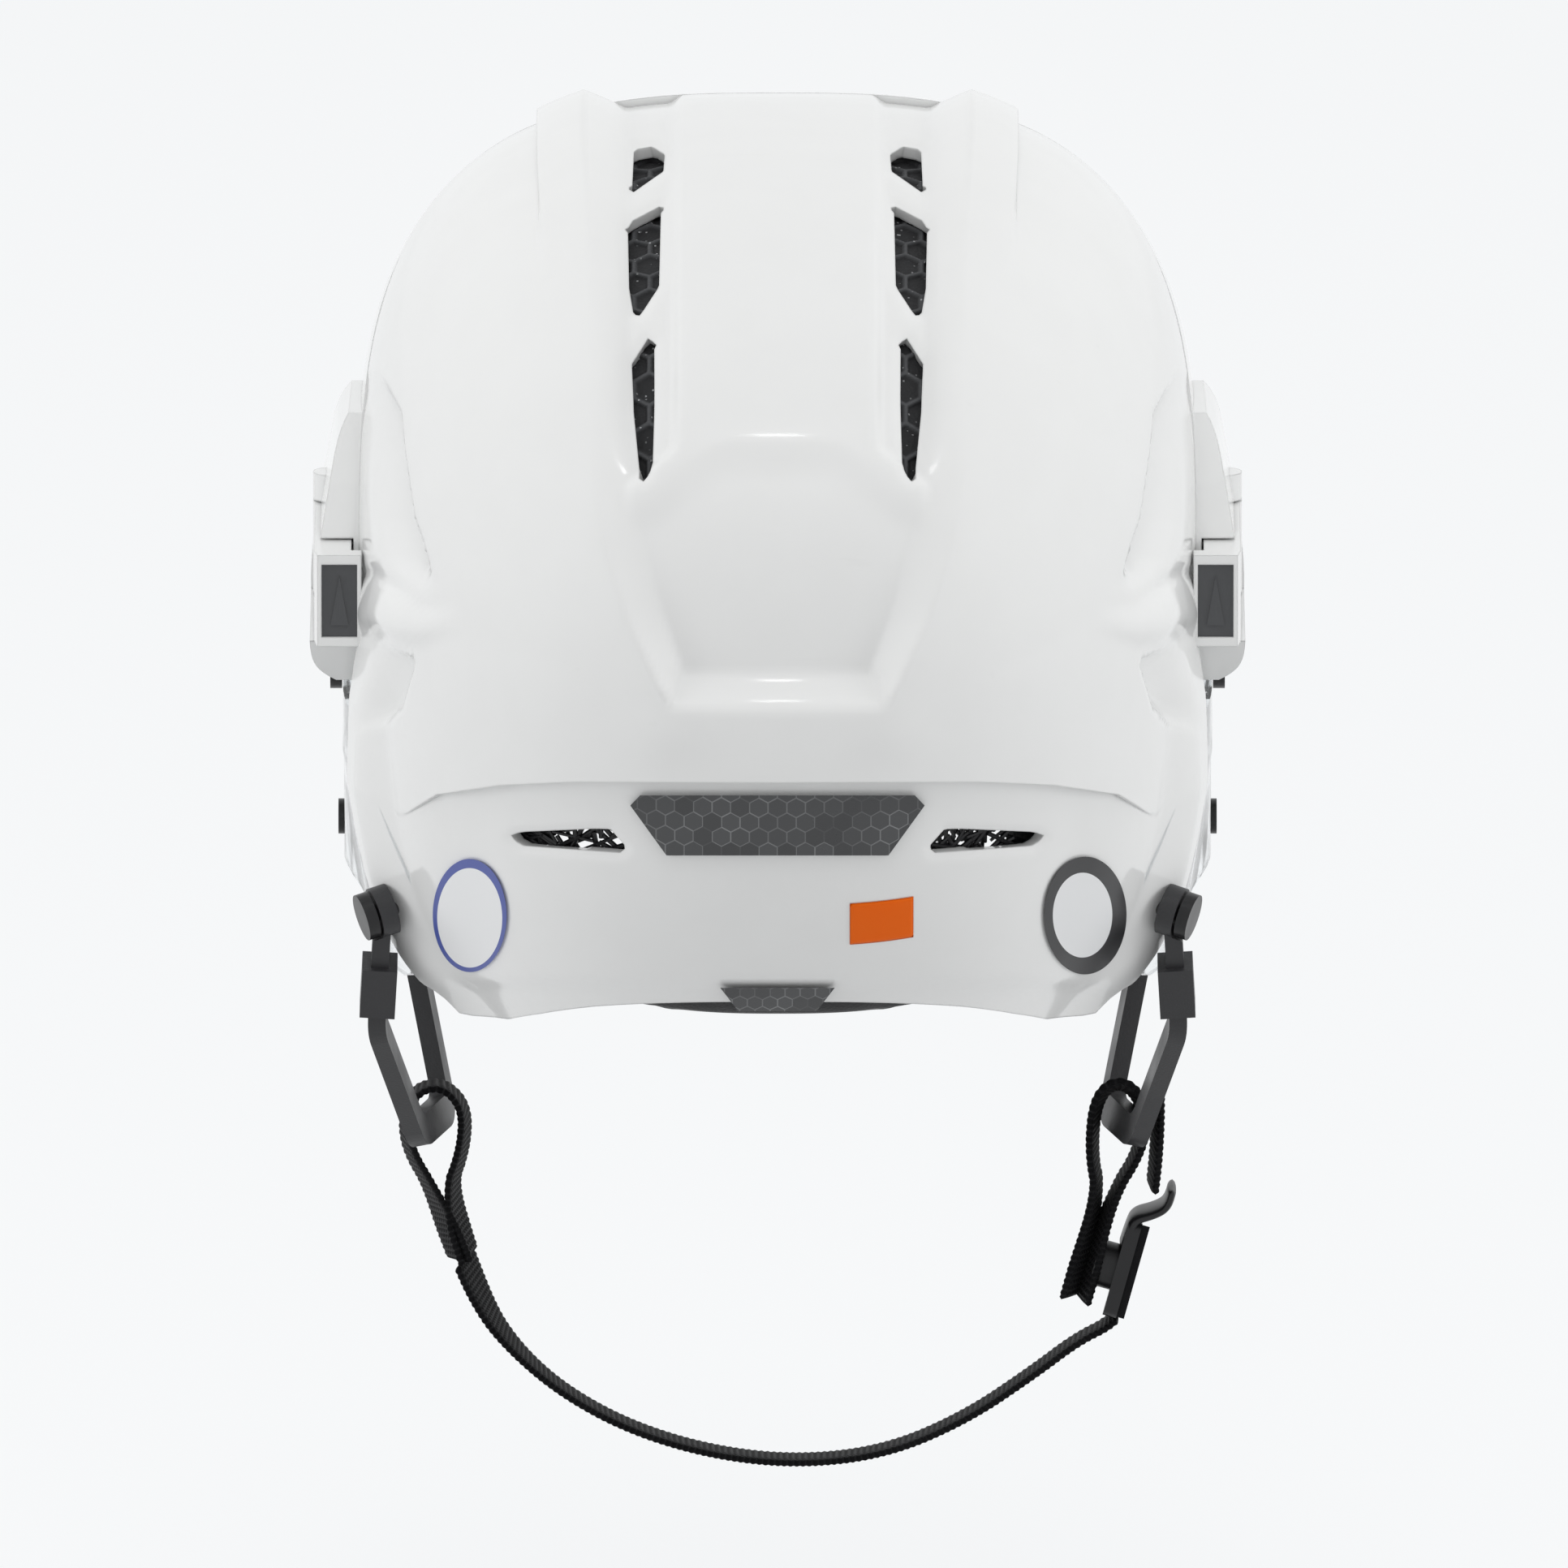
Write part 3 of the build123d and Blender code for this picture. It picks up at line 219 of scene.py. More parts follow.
def build_piece(
    name: str,
    points: Array,
    faces: list[list[int]],
    uv: Array | None = None,
    ridge: Array | None = None,
    smooth: bool = True,
) -> Piece:
    """Puts points and faces into a mesh object that sits at the origin.

    Args:
        name: name of the object and its mesh.
        points: array whose last axis is 3, in metres.
        faces: lists of point indices.
        uv: optional place on the surface per point, in metres.
        ridge: optional value per point, for the material to read.
        smooth: whether the faces are smooth shaded.

    Returns:
        The new object, linked to the scene.
    """
    mesh = bpy.data.meshes.new(name)
    mesh.from_pydata(points.reshape(-1, 3).tolist(), [], faces)
    if uv is not None:
        corner = np.zeros(len(mesh.loops), np.int32)
        mesh.loops.foreach_get("vertex_index", corner)
        layer = mesh.uv_layers.new(name="surface")
        layer.data.foreach_set("uv", uv.reshape(-1, 2)[corner].astype(np.float32).ravel())
    if ridge is not None:
        attribute = mesh.attributes.new("ridge", "FLOAT", "POINT")
        attribute.data.foreach_set("value", ridge.astype(np.float32).ravel())
    mesh.polygons.foreach_set("use_smooth", np.full(len(mesh.polygons), smooth))
    mesh.update()
    return link_piece(mesh)


def link_piece(mesh: bpy.types.Mesh) -> Piece:
    """Makes an object of a mesh, with its name, and links it to the scene."""
    piece = bpy.data.objects.new(mesh.name, mesh)
    bpy.context.scene.collection.objects.link(piece)
    return piece


def closed_pad(
    name: str, outer: Array, inner: Array, seat: float = 0.0, ridge: Array | None = None
) -> Piece:
    """Closes two grids into one solid whose faces point outwards.

    The solid's border lies between both grids' borders, at the given share of the way inwards.

    Args:
        name: name of the object.
        outer: grid of shape (rows, columns, 3) that faces outwards.
        inner: grid of the same shape that faces the other way.
        seat: share of the way from the outer to the inner border.
        ridge: optional value per outer point, for the material to read.

    Returns:
        The new object.
    """
    rows, columns, _ = outer.shape
    values = np.zeros((rows, columns)) if ridge is None else ridge
    row, column = rows // 2, columns // 2
    down = outer[row + 1, column] - outer[row, column]
    right = outer[row, column + 1] - outer[row, column]
    if float(np.dot(np.cross(right, down), outer[row, column] - inner[row, column])) < 0.0:
        outer, inner, values = outer[:, ::-1], inner[:, ::-1], values[:, ::-1]
    rim = np.ones((rows, columns), bool)
    rim[1:-1, 1:-1] = False
    outer = outer + rim[..., None] * seat * (inner - outer)
    index = np.arange(rows * columns).reshape(rows, columns)
    below = np.where(rim, index, index + rows * columns)
    used = np.unique(np.concatenate((index.ravel(), below.ravel())))
    place = np.full(2 * rows * columns, -1)
    place[used] = np.arange(len(used))
    points = np.concatenate((outer.reshape(-1, 3), inner.reshape(-1, 3)))[used]
    top = grid_quads(rows, columns)
    faces = place[np.concatenate((top, below.ravel()[top][:, ::-1]))]
    held = None if ridge is None else np.concatenate((values.ravel(), np.zeros(values.size)))[used]
    return build_piece(name, points, faces.tolist(), ridge=held)


def closed_tube(name: str, points: Array, uv: Array | None = None) -> Piece:
    """Closes rings of points into one tube with flat ends, turned so that its volume is positive.

    The volume is in step with the sum, over the triangles, of one corner times the cross
    product of the other two.

    Args:
        name: name of the object.
        points: array of shape (rings, sides, 3).
        uv: optional place on the surface per point.

    Returns:
        The new object.
    """
    rings, sides, _ = points.shape
    last = (rings - 1) * sides
    ends = [list(range(sides))[::-1], list(range(last, last + sides))]
    piece = build_piece(name, points, tube_quads(rings, sides).tolist() + ends, uv=uv)
    mesh = piece.data
    mesh.calc_loop_triangles()
    corners = np.zeros(len(mesh.loop_triangles) * 3, np.int32)
    mesh.loop_triangles.foreach_get("vertices", corners)
    a, b, c = np.moveaxis(spots_of(mesh)[corners.reshape(-1, 3)], 1, 0)
    if float((a * np.cross(b, c)).sum()) < 0.0:
        mesh.flip_normals()
    return piece


# The helmet's outer form


@dataclass(frozen=True)
class Dome:
    """Superellipse dome swept about a crosswise line, as in the CAD part, in metres and degrees.

    A pitch is an angle from the crown towards the back. A pair is where an edge starts and ends.
    """

    half_width: float = 0.107
    crown_height: float = 0.117
    back_depth: float = 0.155
    front_depth: float = 0.112
    drop_depth: float = 0.153
    pivot_y: float = 0.020
    pivot_z: float = 0.035
    squareness: float = 2.45
    crown_squareness: float = 0.55
    shell_wall: float = 0.0032
    ridge_wall: float = 0.003
    ridge_side: Pair = (0.047, 0.0682)
    ridge_end: Pair = (98.0, 106.0)
    band_depth: float = 0.004
    band_side: Pair = (0.075, 0.098)
    band_start: Pair = (94.0, 103.0)
    seam_y: Row = (-0.0467, -0.044, -0.036, -0.0301, -0.022, -0.0081, 0.0119, 0.038, 0.042)
    seam_z: Row = (-0.095, -0.066, -0.040, -0.0049, 0.030, 0.060, 0.095, 0.1399, 0.1754)
    face_y: Row = (-0.0498, -0.027, -0.0033, 0.0256, 0.0424, 0.0614, 0.0816, 0.0973, 0.1141, 0.154)
    face_z: Row = (0.0081, 0.0081, 0.0044, 0.001, -0.0094, -0.0155, -0.0017, 0.0319, 0.0485, 0.0502)

    def left(self, part: Array, pitch: Array) -> Array:
        """Share of the superellipse left at a part of its reach, to the pitch's own power."""
        power = self.squareness + self.crown_squareness * np.cos(np.radians(pitch)) ** 2
        return (1.0 - np.clip(part, 0.0, 0.9999) ** power) ** (1.0 / power)

    def reach(self, pitch: Array) -> Array:
        """Distance from the pivot line to the dome on the plane of symmetry."""
        turn = np.radians(pitch)
        depth = np.where(pitch >= 0.0, self.back_depth, self.front_depth)
        height = np.where(np.abs(pitch) <= 90.0, self.crown_height, self.drop_depth)
        return 1.0 / np.hypot(np.sin(turn) / depth, np.cos(turn) / height)

    def point(self, x: Array, pitch: Array, rise: Array | float) -> Array:
        """Points of the dome from a sideways place and a pitch.

        The radius is the reach times the superellipse share left at x.

        Args:
            x: sideways place on the outer surface.
            pitch: angle from the crown towards the back.
            rise: height above the outer surface.

        Returns:
            Array with a last axis of 3.
        """
        x, pitch, rise = np.broadcast_arrays(x, pitch, rise)
        radius = (self.reach(pitch) + rise) * self.left(np.abs(x) / self.half_width, pitch)
        turn = np.radians(pitch)
        wide = x * (self.half_width + rise) / self.half_width
        return np.stack(
            (wide, self.pivot_y - radius * np.sin(turn), self.pivot_z + radius * np.cos(turn)),
            axis=-1,
        )

    def side_point(self, y: Array, z: Array, rise: Array | float, side: Side) -> Array:
        """Points of one side wall from a place on the side view.

        The half width is scaled by the superellipse share left at that distance from the pivot.

        Args:
            y: place towards the face.
            z: height.
            rise: height above the outer surface.
            side: which side of the head.

        Returns:
            Array with a last axis of 3.
        """
        y, z, rise = np.broadcast_arrays(y, z, rise)
        pitch = np.degrees(np.arctan2(self.pivot_y - y, z - self.pivot_z))
        spread = np.hypot(self.pivot_y - y, z - self.pivot_z) / (self.reach(pitch) + rise)
        return np.stack((side.value * (self.half_width + rise) * self.left(spread, pitch), y, z), axis=-1)

    def wall(self, x: Array, pitch: Array) -> Array:
        """Depth of the rear shell's inner face below the dome, with its ridges and lower band."""
        ridges = self.ridge_wall * fall(np.abs(x), *self.ridge_side) * fall(pitch, *self.ridge_end)
        band = self.band_depth * ease(pitch, *self.band_start) * fall(np.abs(x), *self.band_side)
        return self.shell_wall + ridges + band

    def ahead(self, spot: Array) -> Array:
        """How far places lie ahead of the seam between the two halves."""
        return spot[..., 1] - np.interp(spot[..., 2], self.seam_z, self.seam_y)

    def seam_pitch(self, x: Array, rise: float, reach: float, low: float, high: float) -> Array:
        """Pitches between two limits at which places of the dome lie a reach ahead of the seam."""
        return solve_between(lambda pitch: self.ahead(self.point(x, pitch, rise)) - reach, low, high, len(x))

    def seam_place(self, pitch: Array, rise: float, gap: float, low: float, high: float) -> Array:
        """Sideways places between two limits at which rows of the dome end a gap behind the seam."""
        return solve_between(lambda x: -self.ahead(self.point(x, pitch, rise)) - gap, low, high, len(pitch))

    def face(self, y: Array) -> Array:
        """Height of the front shell's lower edge at each place along the side."""
        return np.interp(y, self.face_y, self.face_z)


# Finishes


class Wiring:
    """Adds nodes to one tree and joins them."""

    def __init__(self, tree: bpy.types.NodeTree) -> None:
        """Keeps the tree and clears it."""
        self.tree = tree
        tree.nodes.clear()

    def add(self, kind: str, inputs: dict | None = None, **settings: object) -> bpy.types.Node:
        """Adds a node, sets its properties and fills or links its inputs.

        Args:
            kind: Blender's node type, without its first words.
            inputs: values or output sockets by input name or number.
            settings: properties of the node.

        Returns:
            The new node.
        """
        node = self.tree.nodes.new(kind if kind.startswith("Node") else "ShaderNode" + kind)
        for label, value in settings.items():
            setattr(node, label, value)
        for label, value in (inputs or {}).items():
            if isinstance(value, Socket):
                self.tree.links.new(value, node.inputs[label])
            else:
                node.inputs[label].default_value = value
        return node

    def math(self, operation: str, first: Feed, second: Feed = 0.0) -> Socket:
        """One Math node's result."""
        return self.add("Math", {0: first, 1: second}, operation=operation).outputs[0]

    def times(self, first: Feed, second: Feed) -> Socket:
        """The product of two values."""
        return self.math("MULTIPLY", first, second)

    def plus(self, first: Feed, second: Feed) -> Socket:
        """The sum of two values."""
        return self.math("ADD", first, second)

    def noise(self, vector: Feed, scale: Feed, detail: float) -> Socket:
        """A noise texture's value at the given scale."""
        return self.add("TexNoise", {"Vector": vector, "Scale": scale, "Detail": detail}).outputs["Fac"]

    def spread(self, value: Feed, low: float, high: float, to_low: float, to_high: float) -> Socket:
        """Maps a value from one range to another, held at the ends."""
        inputs = {"Value": value, "From Min": low, "From Max": high, "To Min": to_low, "To Max": to_high}
        return self.add("MapRange", inputs).outputs["Result"]

    def mix(self, share: Feed, first: Feed, second: Feed) -> Socket:
        """A blend of two colours."""
        return self.add("Mix", {0: share, 6: first, 7: second}, data_type="RGBA").outputs[2]

    def split(self, vector: Feed) -> bpy.types.bpy_prop_collection:
        """The parts X, Y and Z of a vector, by name."""
        return self.add("SeparateXYZ", {0: vector}).outputs

    def bump(self, height: Feed, strength: float, distance: float) -> bpy.types.Node:
        """A Bump node for a height."""
        return self.add("Bump", {"Height": height, "Strength": strength, "Distance": distance})


class Effects:
    """Node groups that several finishes share, each built once."""

    def __init__(self) -> None:
        """Builds the groups."""
        self.handling = self._handling()
        self.moulding = self._moulding()
        self.honeycomb = self._honeycomb()

    @staticmethod
    def _group(name: str, inputs: dict[str, float], outputs: tuple[str, ...]) -> tuple:
        """Makes a group with a vector input, named float inputs and float outputs.

        Args:
            name: name of the group.
            inputs: values of its float inputs by name.
            outputs: names of its outputs.

        Returns:
            The group, its wiring and its input sockets by name.
        """
        group = bpy.data.node_groups.new(name, "ShaderNodeTree")
        group.interface.new_socket("Vector", in_out="INPUT", socket_type="NodeSocketVector")
        for label, value in inputs.items():
            socket = group.interface.new_socket(label, in_out="INPUT", socket_type="NodeSocketFloat")
            socket.default_value = value
        for label in outputs:
            group.interface.new_socket(label, in_out="OUTPUT", socket_type="NodeSocketFloat")
        wiring = Wiring(group)
        return group, wiring, wiring.add("NodeGroupInput").outputs

    def _handling(self) -> bpy.types.NodeTree:
        """Smudges left by hands and faint scuffs: large soft noise and thin stretched noise."""
        group, wiring, source = self._group("handling_marks", {"Scale": 60.0}, ("Smudge", "Scuff"))
        soft = wiring.noise(source["Vector"], source["Scale"], 4.0)
        smudge = wiring.spread(soft, 0.35, 0.7, 0.0, 1.0)
        stretch = {"Vector": source["Vector"], "Rotation": (0.4, 0.9, 0.3), "Scale": (14.0, 420.0, 240.0)}
        thin = wiring.noise(wiring.add("Mapping", stretch).outputs["Vector"], 1.0, 2.0)
        scuff = wiring.times(wiring.spread(thin, 0.68, 0.78, 0.0, 1.0), smudge)
        wiring.add("NodeGroupOutput", {"Smudge": smudge, "Scuff": scuff})
        return group

    def _moulding(self) -> bpy.types.NodeTree:
        """Skin of a moulded part: slow waviness with fine grain on it."""
        inputs = {"Wave": 40.0, "Grain": 1800.0, "Share": 0.3}
        group, wiring, source = self._group("moulded_skin", inputs, ("Height",))
        wave = wiring.noise(source["Vector"], source["Wave"], 1.0)
        grain = wiring.noise(source["Vector"], source["Grain"], 2.0)
        wiring.add("NodeGroupOutput", {"Height": wiring.plus(wave, wiring.times(grain, source["Share"]))})
        return group

    def _honeycomb(self) -> bpy.types.NodeTree:
        """Thin walls of a honeycomb on X and Z: 1 on a wall and 0 inside a cell.

        A place belongs to the nearer of two shifted lattices, and each cell gets a random shade.
        """
        inputs = {"Cell": 0.005, "Line": 0.0004}
        group, wiring, source = self._group("honeycomb_print", inputs, ("Wall", "Cell Shade"))
        part = wiring.split(source["Vector"])
        x, y = (wiring.math("DIVIDE", part[axis], source["Cell"]) for axis in "XZ")
        root = math.sqrt(3.0)
        reaches, keys = [], []
        for shift_x, shift_y in ((0.0, 0.0), (0.5, root / 2.0)):
            own_x, own_y = wiring.math("SUBTRACT", x, shift_x), wiring.math("SUBTRACT", y, shift_y)
            near_x = wiring.math("ROUND", own_x)
            near_y = wiring.times(wiring.math("ROUND", wiring.math("DIVIDE", own_y, root)), root)
            off_x = wiring.math("ABSOLUTE", wiring.math("SUBTRACT", own_x, near_x))
            off_y = wiring.math("ABSOLUTE", wiring.math("SUBTRACT", own_y, near_y))
            slant = wiring.plus(wiring.times(off_x, 0.5), wiring.times(off_y, root / 2.0))
            reaches.append(wiring.math("MAXIMUM", off_x, slant))
            keys.append(wiring.plus(wiring.times(near_x, 12.9), wiring.times(near_y, 7.3)))
        gap = wiring.times(wiring.math("SUBTRACT", 0.5, wiring.math("MINIMUM", *reaches)), source["Cell"])
        wall = wiring.math("LESS_THAN", gap, source["Line"])
        first = wiring.math("LESS_THAN", *reaches)
        kept = wiring.times(keys[0], first)
        rest = wiring.times(keys[1], wiring.math("SUBTRACT", 1.0, first))
        key = wiring.add("TexWhiteNoise", {"W": wiring.plus(kept, rest)}, noise_dimensions="1D")
        wiring.add("NodeGroupOutput", {"Wall": wall, "Cell Shade": key.outputs["Value"]})
        return group


@dataclass(frozen=True)
class Surface:
    """What every finish shares: its name and a material of one Principled shader."""

    name: str

    def make(self, effects: Effects) -> bpy.types.Material:
        """Builds the material.

        Args:
            effects: the shared node groups.

        Returns:
            The finished material.
        """
        material = bpy.data.materials.new(self.name)
        material.use_nodes = True
        wiring = Wiring(material.node_tree)
        place = wiring.add("TexCoord").outputs["Object"]
        shader = wiring.add("BsdfPrincipled", self.look(wiring, place, effects))
        wiring.add("OutputMaterial", {"Surface": shader.outputs["BSDF"]})
        return material

    @staticmethod
    def effect(
        wiring: Wiring, tree: bpy.types.NodeTree, place: Socket, **values: float
    ) -> bpy.types.bpy_prop_collection:
        """The outputs of one shared effect with its own values."""
        return wiring.add("Group", {"Vector": place, **values}, node_tree=tree).outputs

    def look(self, wiring: Wiring, place: Socket, effects: Effects) -> dict:
        """The shader's values and sockets by input name."""
        raise NotImplementedError


@dataclass(frozen=True)
class Plastic(Surface):
    """Moulded plastic with a slightly wavy skin, smudges and soft edges."""

    colour: Colour
    mark: Colour
    smooth: float
    dull: float
    grain: float = 0.02
    edge: float = 0.0
    bump: float = 0.06
    shine: float = 0.5

    def look(self, wiring: Wiring, place: Socket, effects: Effects) -> dict:
        """The shader's values and sockets by input name."""
        marks = self.effect(wiring, effects.handling, place)
        skin = self.effect(wiring, effects.moulding, place, Share=self.grain)
        worn = wiring.math("MAXIMUM", wiring.times(marks["Smudge"], 0.35), marks["Scuff"])
        bump = wiring.bump(skin["Height"], self.bump, 0.0004)
        if self.edge:
            soft = wiring.add("Bevel", {"Radius": self.edge}, samples=4)
            wiring.tree.links.new(soft.outputs["Normal"], bump.inputs["Normal"])
        return {
            "Base Color": wiring.mix(worn, self.colour, self.mark),
            "Roughness": wiring.spread(marks["Smudge"], 0.0, 1.0, self.smooth, self.dull),
            "Normal": bump.outputs["Normal"],
            "IOR": 1.5,
            "Specular IOR Level": self.shine,
        }


@dataclass(frozen=True)
class ClearPlastic(Surface):
    """Clear polycarbonate of the ear guards with a faint grey tint and fine scratches."""

    tint: Colour = (0.93, 0.95, 0.96, 1.0)

    def look(self, wiring: Wiring, place: Socket, effects: Effects) -> dict:
        """The shader's values and sockets by input name."""
        marks = self.effect(wiring, effects.handling, place, Scale=90.0)
        skin = self.effect(wiring, effects.moulding, place, Share=0.0)
        return {
            "Base Color": self.tint,
            "Roughness": wiring.spread(marks["Smudge"], 0.0, 1.0, 0.03, 0.09),
            "Normal": wiring.bump(skin["Height"], 0.08, 0.0005).outputs["Normal"],
            "IOR": 1.45,
            "Transmission Weight": 1.0,
        }


@dataclass(frozen=True)
class HoneycombPrint(Surface):
    """Dark glossy plate with a fine honeycomb printed on it, some cells paler than others."""

    ground: Colour = (0.035, 0.036, 0.038, 1.0)
    cell_tone: Colour = (0.06, 0.062, 0.065, 1.0)
    line: Colour = (0.2, 0.205, 0.21, 1.0)
    cell: float = 0.0047
    line_width: float = 0.00016

    def look(self, wiring: Wiring, place: Socket, effects: Effects) -> dict:
        """The shader's values and sockets by input name."""
        mesh = self.effect(wiring, effects.honeycomb, place, Cell=self.cell, Line=self.line_width)
        marks = self.effect(wiring, effects.handling, place)
        tone = wiring.mix(mesh["Cell Shade"], self.ground, self.cell_tone)
        strength = wiring.times(mesh["Wall"], wiring.spread(mesh["Cell Shade"], 0.3, 1.0, 0.12, 1.0))
        return {
            "Base Color": wiring.mix(strength, tone, self.line),
            "Roughness": wiring.spread(marks["Smudge"], 0.0, 1.0, 0.2, 0.3),
            "Normal": wiring.bump(mesh["Wall"], 0.25, 0.0001).outputs["Normal"],
            "IOR": 1.5,
        }


@dataclass(frozen=True)
class Foam(Surface):
    """Closed-cell foam: matt black with pores, painted glints (pale specks that stand for highlights) and,
    where raised, a greyer skin.
    """

    ground: Colour = (0.012, 0.012, 0.013, 1.0)
    raised: Colour = (0.07, 0.072, 0.076, 1.0)
    # Pale colour of the painted glints: specks that stand for highlights.
    painted_glint: Colour = (0.45, 0.46, 0.47, 1.0)
    painted_glints: float = 0.0
    painted_glint_size: float = 0.00045

    def look(self, wiring: Wiring, place: Socket, effects: Effects) -> dict:
        """The shader's values and sockets by input name; each small cube has one random value."""
        ridge = wiring.add("Attribute", attribute_name="ridge").outputs["Fac"]
        pores = wiring.add("TexVoronoi", {"Vector": place, "Scale": 1100.0}).outputs["Distance"]
        patches = wiring.noise(place, 90.0, 4.0)
        colour = wiring.mix(ridge, self.ground, self.raised)
        colour = wiring.mix(wiring.spread(patches, 0.3, 0.75, 0.0, 0.25), colour, self.raised)
        # Painted glints: a few random small cubes take the pale colour as painted highlights.
        if self.painted_glints:
            cubes = wiring.add("VectorMath", {0: place, 1: (self.painted_glint_size,) * 3}, operation="SNAP")
            specks = wiring.add("TexWhiteNoise", {"Vector": cubes.outputs["Vector"]}).outputs["Value"]
            painted_spark = wiring.spread(specks, 1.0 - self.painted_glints, 1.0, 0.0, 1.0)
            colour = wiring.mix(painted_spark, colour, self.painted_glint)
        return {
            "Base Color": colour,
            "Roughness": wiring.spread(patches, 0.3, 0.7, 0.5, 0.75),
            "Normal": wiring.bump(pores, 0.35, 0.0003).outputs["Normal"],
            "Specular IOR Level": 0.3,
            "Sheen Weight": 0.05,
            "Sheen Roughness": 0.5,
        }


@dataclass(frozen=True)
class Webbing(Surface):
    """Woven strap: slanted ribs across the band, read from the piece's own UV in metres; the grooves between
    ribs are painted darker as shade.
    """

    thread: Colour = (0.008, 0.008, 0.009, 1.0)
    # Darker colour of the grooves between ribs: painted shade.
    gap: Colour = (0.002, 0.002, 0.0025, 1.0)
    worn: Colour = (0.02, 0.02, 0.022, 1.0)
    across_rate: float = 2094.0
    along_rate: float = 3927.0
    slant: float = 2.2

    def look(self, wiring: Wiring, place: Socket, effects: Effects) -> dict:
        """The shader's values and sockets by input name; a rib is a sine along the slanted band."""
        part = wiring.split(wiring.add("UVMap", uv_map="surface").outputs["UV"])
        wave = wiring.math("ABSOLUTE", wiring.math("SINE", wiring.times(part["X"], self.across_rate)))
        phase = wiring.plus(wiring.times(part["Y"], self.along_rate), wiring.times(wave, self.slant))
        rib = wiring.spread(wiring.math("SINE", phase), -1.0, 1.0, 0.0, 1.0)
        marks = self.effect(wiring, effects.handling, place, Scale=120.0)
        # The low parts of each rib take the darker colour: painted shade in the grooves.
        colour = wiring.mix(rib, self.gap, self.thread)
        height = wiring.plus(rib, wiring.times(wiring.noise(place, 2600.0, 2.0), 0.35))
        return {
            "Base Color": wiring.mix(wiring.times(marks["Smudge"], 0.25), colour, self.worn),
            "Roughness": wiring.spread(rib, 0.0, 1.0, 0.8, 0.55),
            "Normal": wiring.bump(height, 0.6, 0.0003).outputs["Normal"],
            "Specular IOR Level": 0.12,
            "Sheen Weight": 0.03,
            "Sheen Roughness": 0.4,
        }


@dataclass(frozen=True)
class Label(Surface):
    """Blank printed label: a pale field inside a coloured rim, both by the distance from its middle."""

    field_colour: Colour
    rim_colour: Colour
    centre: Pair
    half: Pair
    rim_share: float

    def look(self, wiring: Wiring, place: Socket, effects: Effects) -> dict:
        """The shader's values and sockets by input name; places are read across the view."""
        part = wiring.split(place)
        view = wiring.plus(
            wiring.times(part["Z"], math.cos(VIEW_TILT)), wiring.times(part["Y"], math.sin(VIEW_TILT))
        )
        squares = []
        for value, middle, half in zip((part["X"], view), self.centre, self.half):
            share = wiring.math("DIVIDE", wiring.math("SUBTRACT", value, middle), half)
            squares.append(wiring.times(share, share))
        rim = wiring.math("GREATER_THAN", wiring.math("SQRT", wiring.plus(*squares)), self.rim_share)
        marks = self.effect(wiring, effects.handling, place)
        return {
            "Base Color": wiring.mix(rim, self.field_colour, self.rim_colour),
            "Roughness": wiring.spread(marks["Smudge"], 0.0, 1.0, 0.28, 0.4),
            "IOR": 1.5,
        }


def grey(level: float, blue: float) -> Colour:
    """A grey with its own level of blue."""
    return (level, level, blue, 1.0)


class Finish(Enum):
    """Every finish on the helmet, named by what it covers."""

    SHELL = Plastic(
        "shell_white", (0.82, 0.826, 0.822, 1.0), (0.79, 0.795, 0.79, 1.0), 0.09, 0.13, edge=0.0008
    )
    TRIM = Plastic(
        "trim_grey", grey(0.024, 0.026), grey(0.045, 0.048), 0.35, 0.5, 0.5, bump=0.25, shine=0.4
    )
    BLACK = Plastic("black_plastic", grey(0.008, 0.009), grey(0.025, 0.027), 0.28, 0.42, 0.3, shine=0.35)
    INSERT = Plastic("insert_gloss", (0.05, 0.052, 0.056, 1.0), (0.07, 0.072, 0.076, 1.0), 0.12, 0.2)
    SCREW = Plastic("screw_black", grey(0.008, 0.009), grey(0.03, 0.031), 0.3, 0.4, 0.4, shine=0.35)
    CLEAR = ClearPlastic("clear_polycarbonate")
    BADGE = HoneycombPrint("badge_print")
    PLATE = HoneycombPrint("size_plate_print", cell=0.0038)
    PAD = Foam("pad_foam")
    # The vent nets carry painted glints: pale specks in the colour that stand for highlights.
    NET = Foam("vent_net_foam", painted_glints=0.012)
    WEBBING = Webbing("strap_webbing")
    OVAL = Label(
        "label_oval_print",
        (0.83, 0.84, 0.85, 1.0),
        (0.07, 0.1, 0.36, 1.0),
        (-0.0777, -0.0536),
        (0.0094, 0.0143),
        0.88,
    )
    ROUND = Label(
        "label_round_print",
        (0.78, 0.79, 0.8, 1.0),
        grey(0.02, 0.022),
        (0.077, -0.0529),
        (0.0105, 0.0149),
        0.72,
    )
    ORANGE = Plastic("label_orange", (0.84, 0.13, 0.002, 1.0), (0.8, 0.15, 0.01, 1.0), 0.4, 0.5, shine=0.15)


class Finishes:
    """Hands out each finish's material, made the first time it is asked for."""

    def __init__(self) -> None:
        """Builds the shared effects."""
        self.effects = Effects()
        self.made: dict[Finish, bpy.types.Material] = {}

    def dress(self, piece: Piece, finish: Finish) -> None:
        """Puts one finish on all of a piece."""
        if finish not in self.made:
            self.made[finish] = finish.value.make(self.effects)
        piece.data.materials.clear()
        piece.data.materials.append(self.made[finish])


@dataclass
class Kit:
    """What every sub-assembly needs: the CAD nodes, the finishes and the dome."""

    nodes: dict[str, Piece]
    finishes: Finishes
    dome: Dome = field(default_factory=Dome)

    def place(self, piece: Piece, body: str, slot: str, finish: Finish, *nodes: str) -> None:
        """Dresses a new piece, puts it on a body and lets it stand for CAD nodes.

        Args:
            piece: the new piece.
            body: body that it rides on.
            slot: name of a material slot; not used.
            finish: its finish.
            nodes: CAD nodes that it replaces.
        """
        self.finishes.dress(piece, finish)
        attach(piece, body)
        if nodes:
            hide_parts(*nodes)
        log.info("%s rides on %s with %d faces", piece.name, body, len(piece.data.polygons))


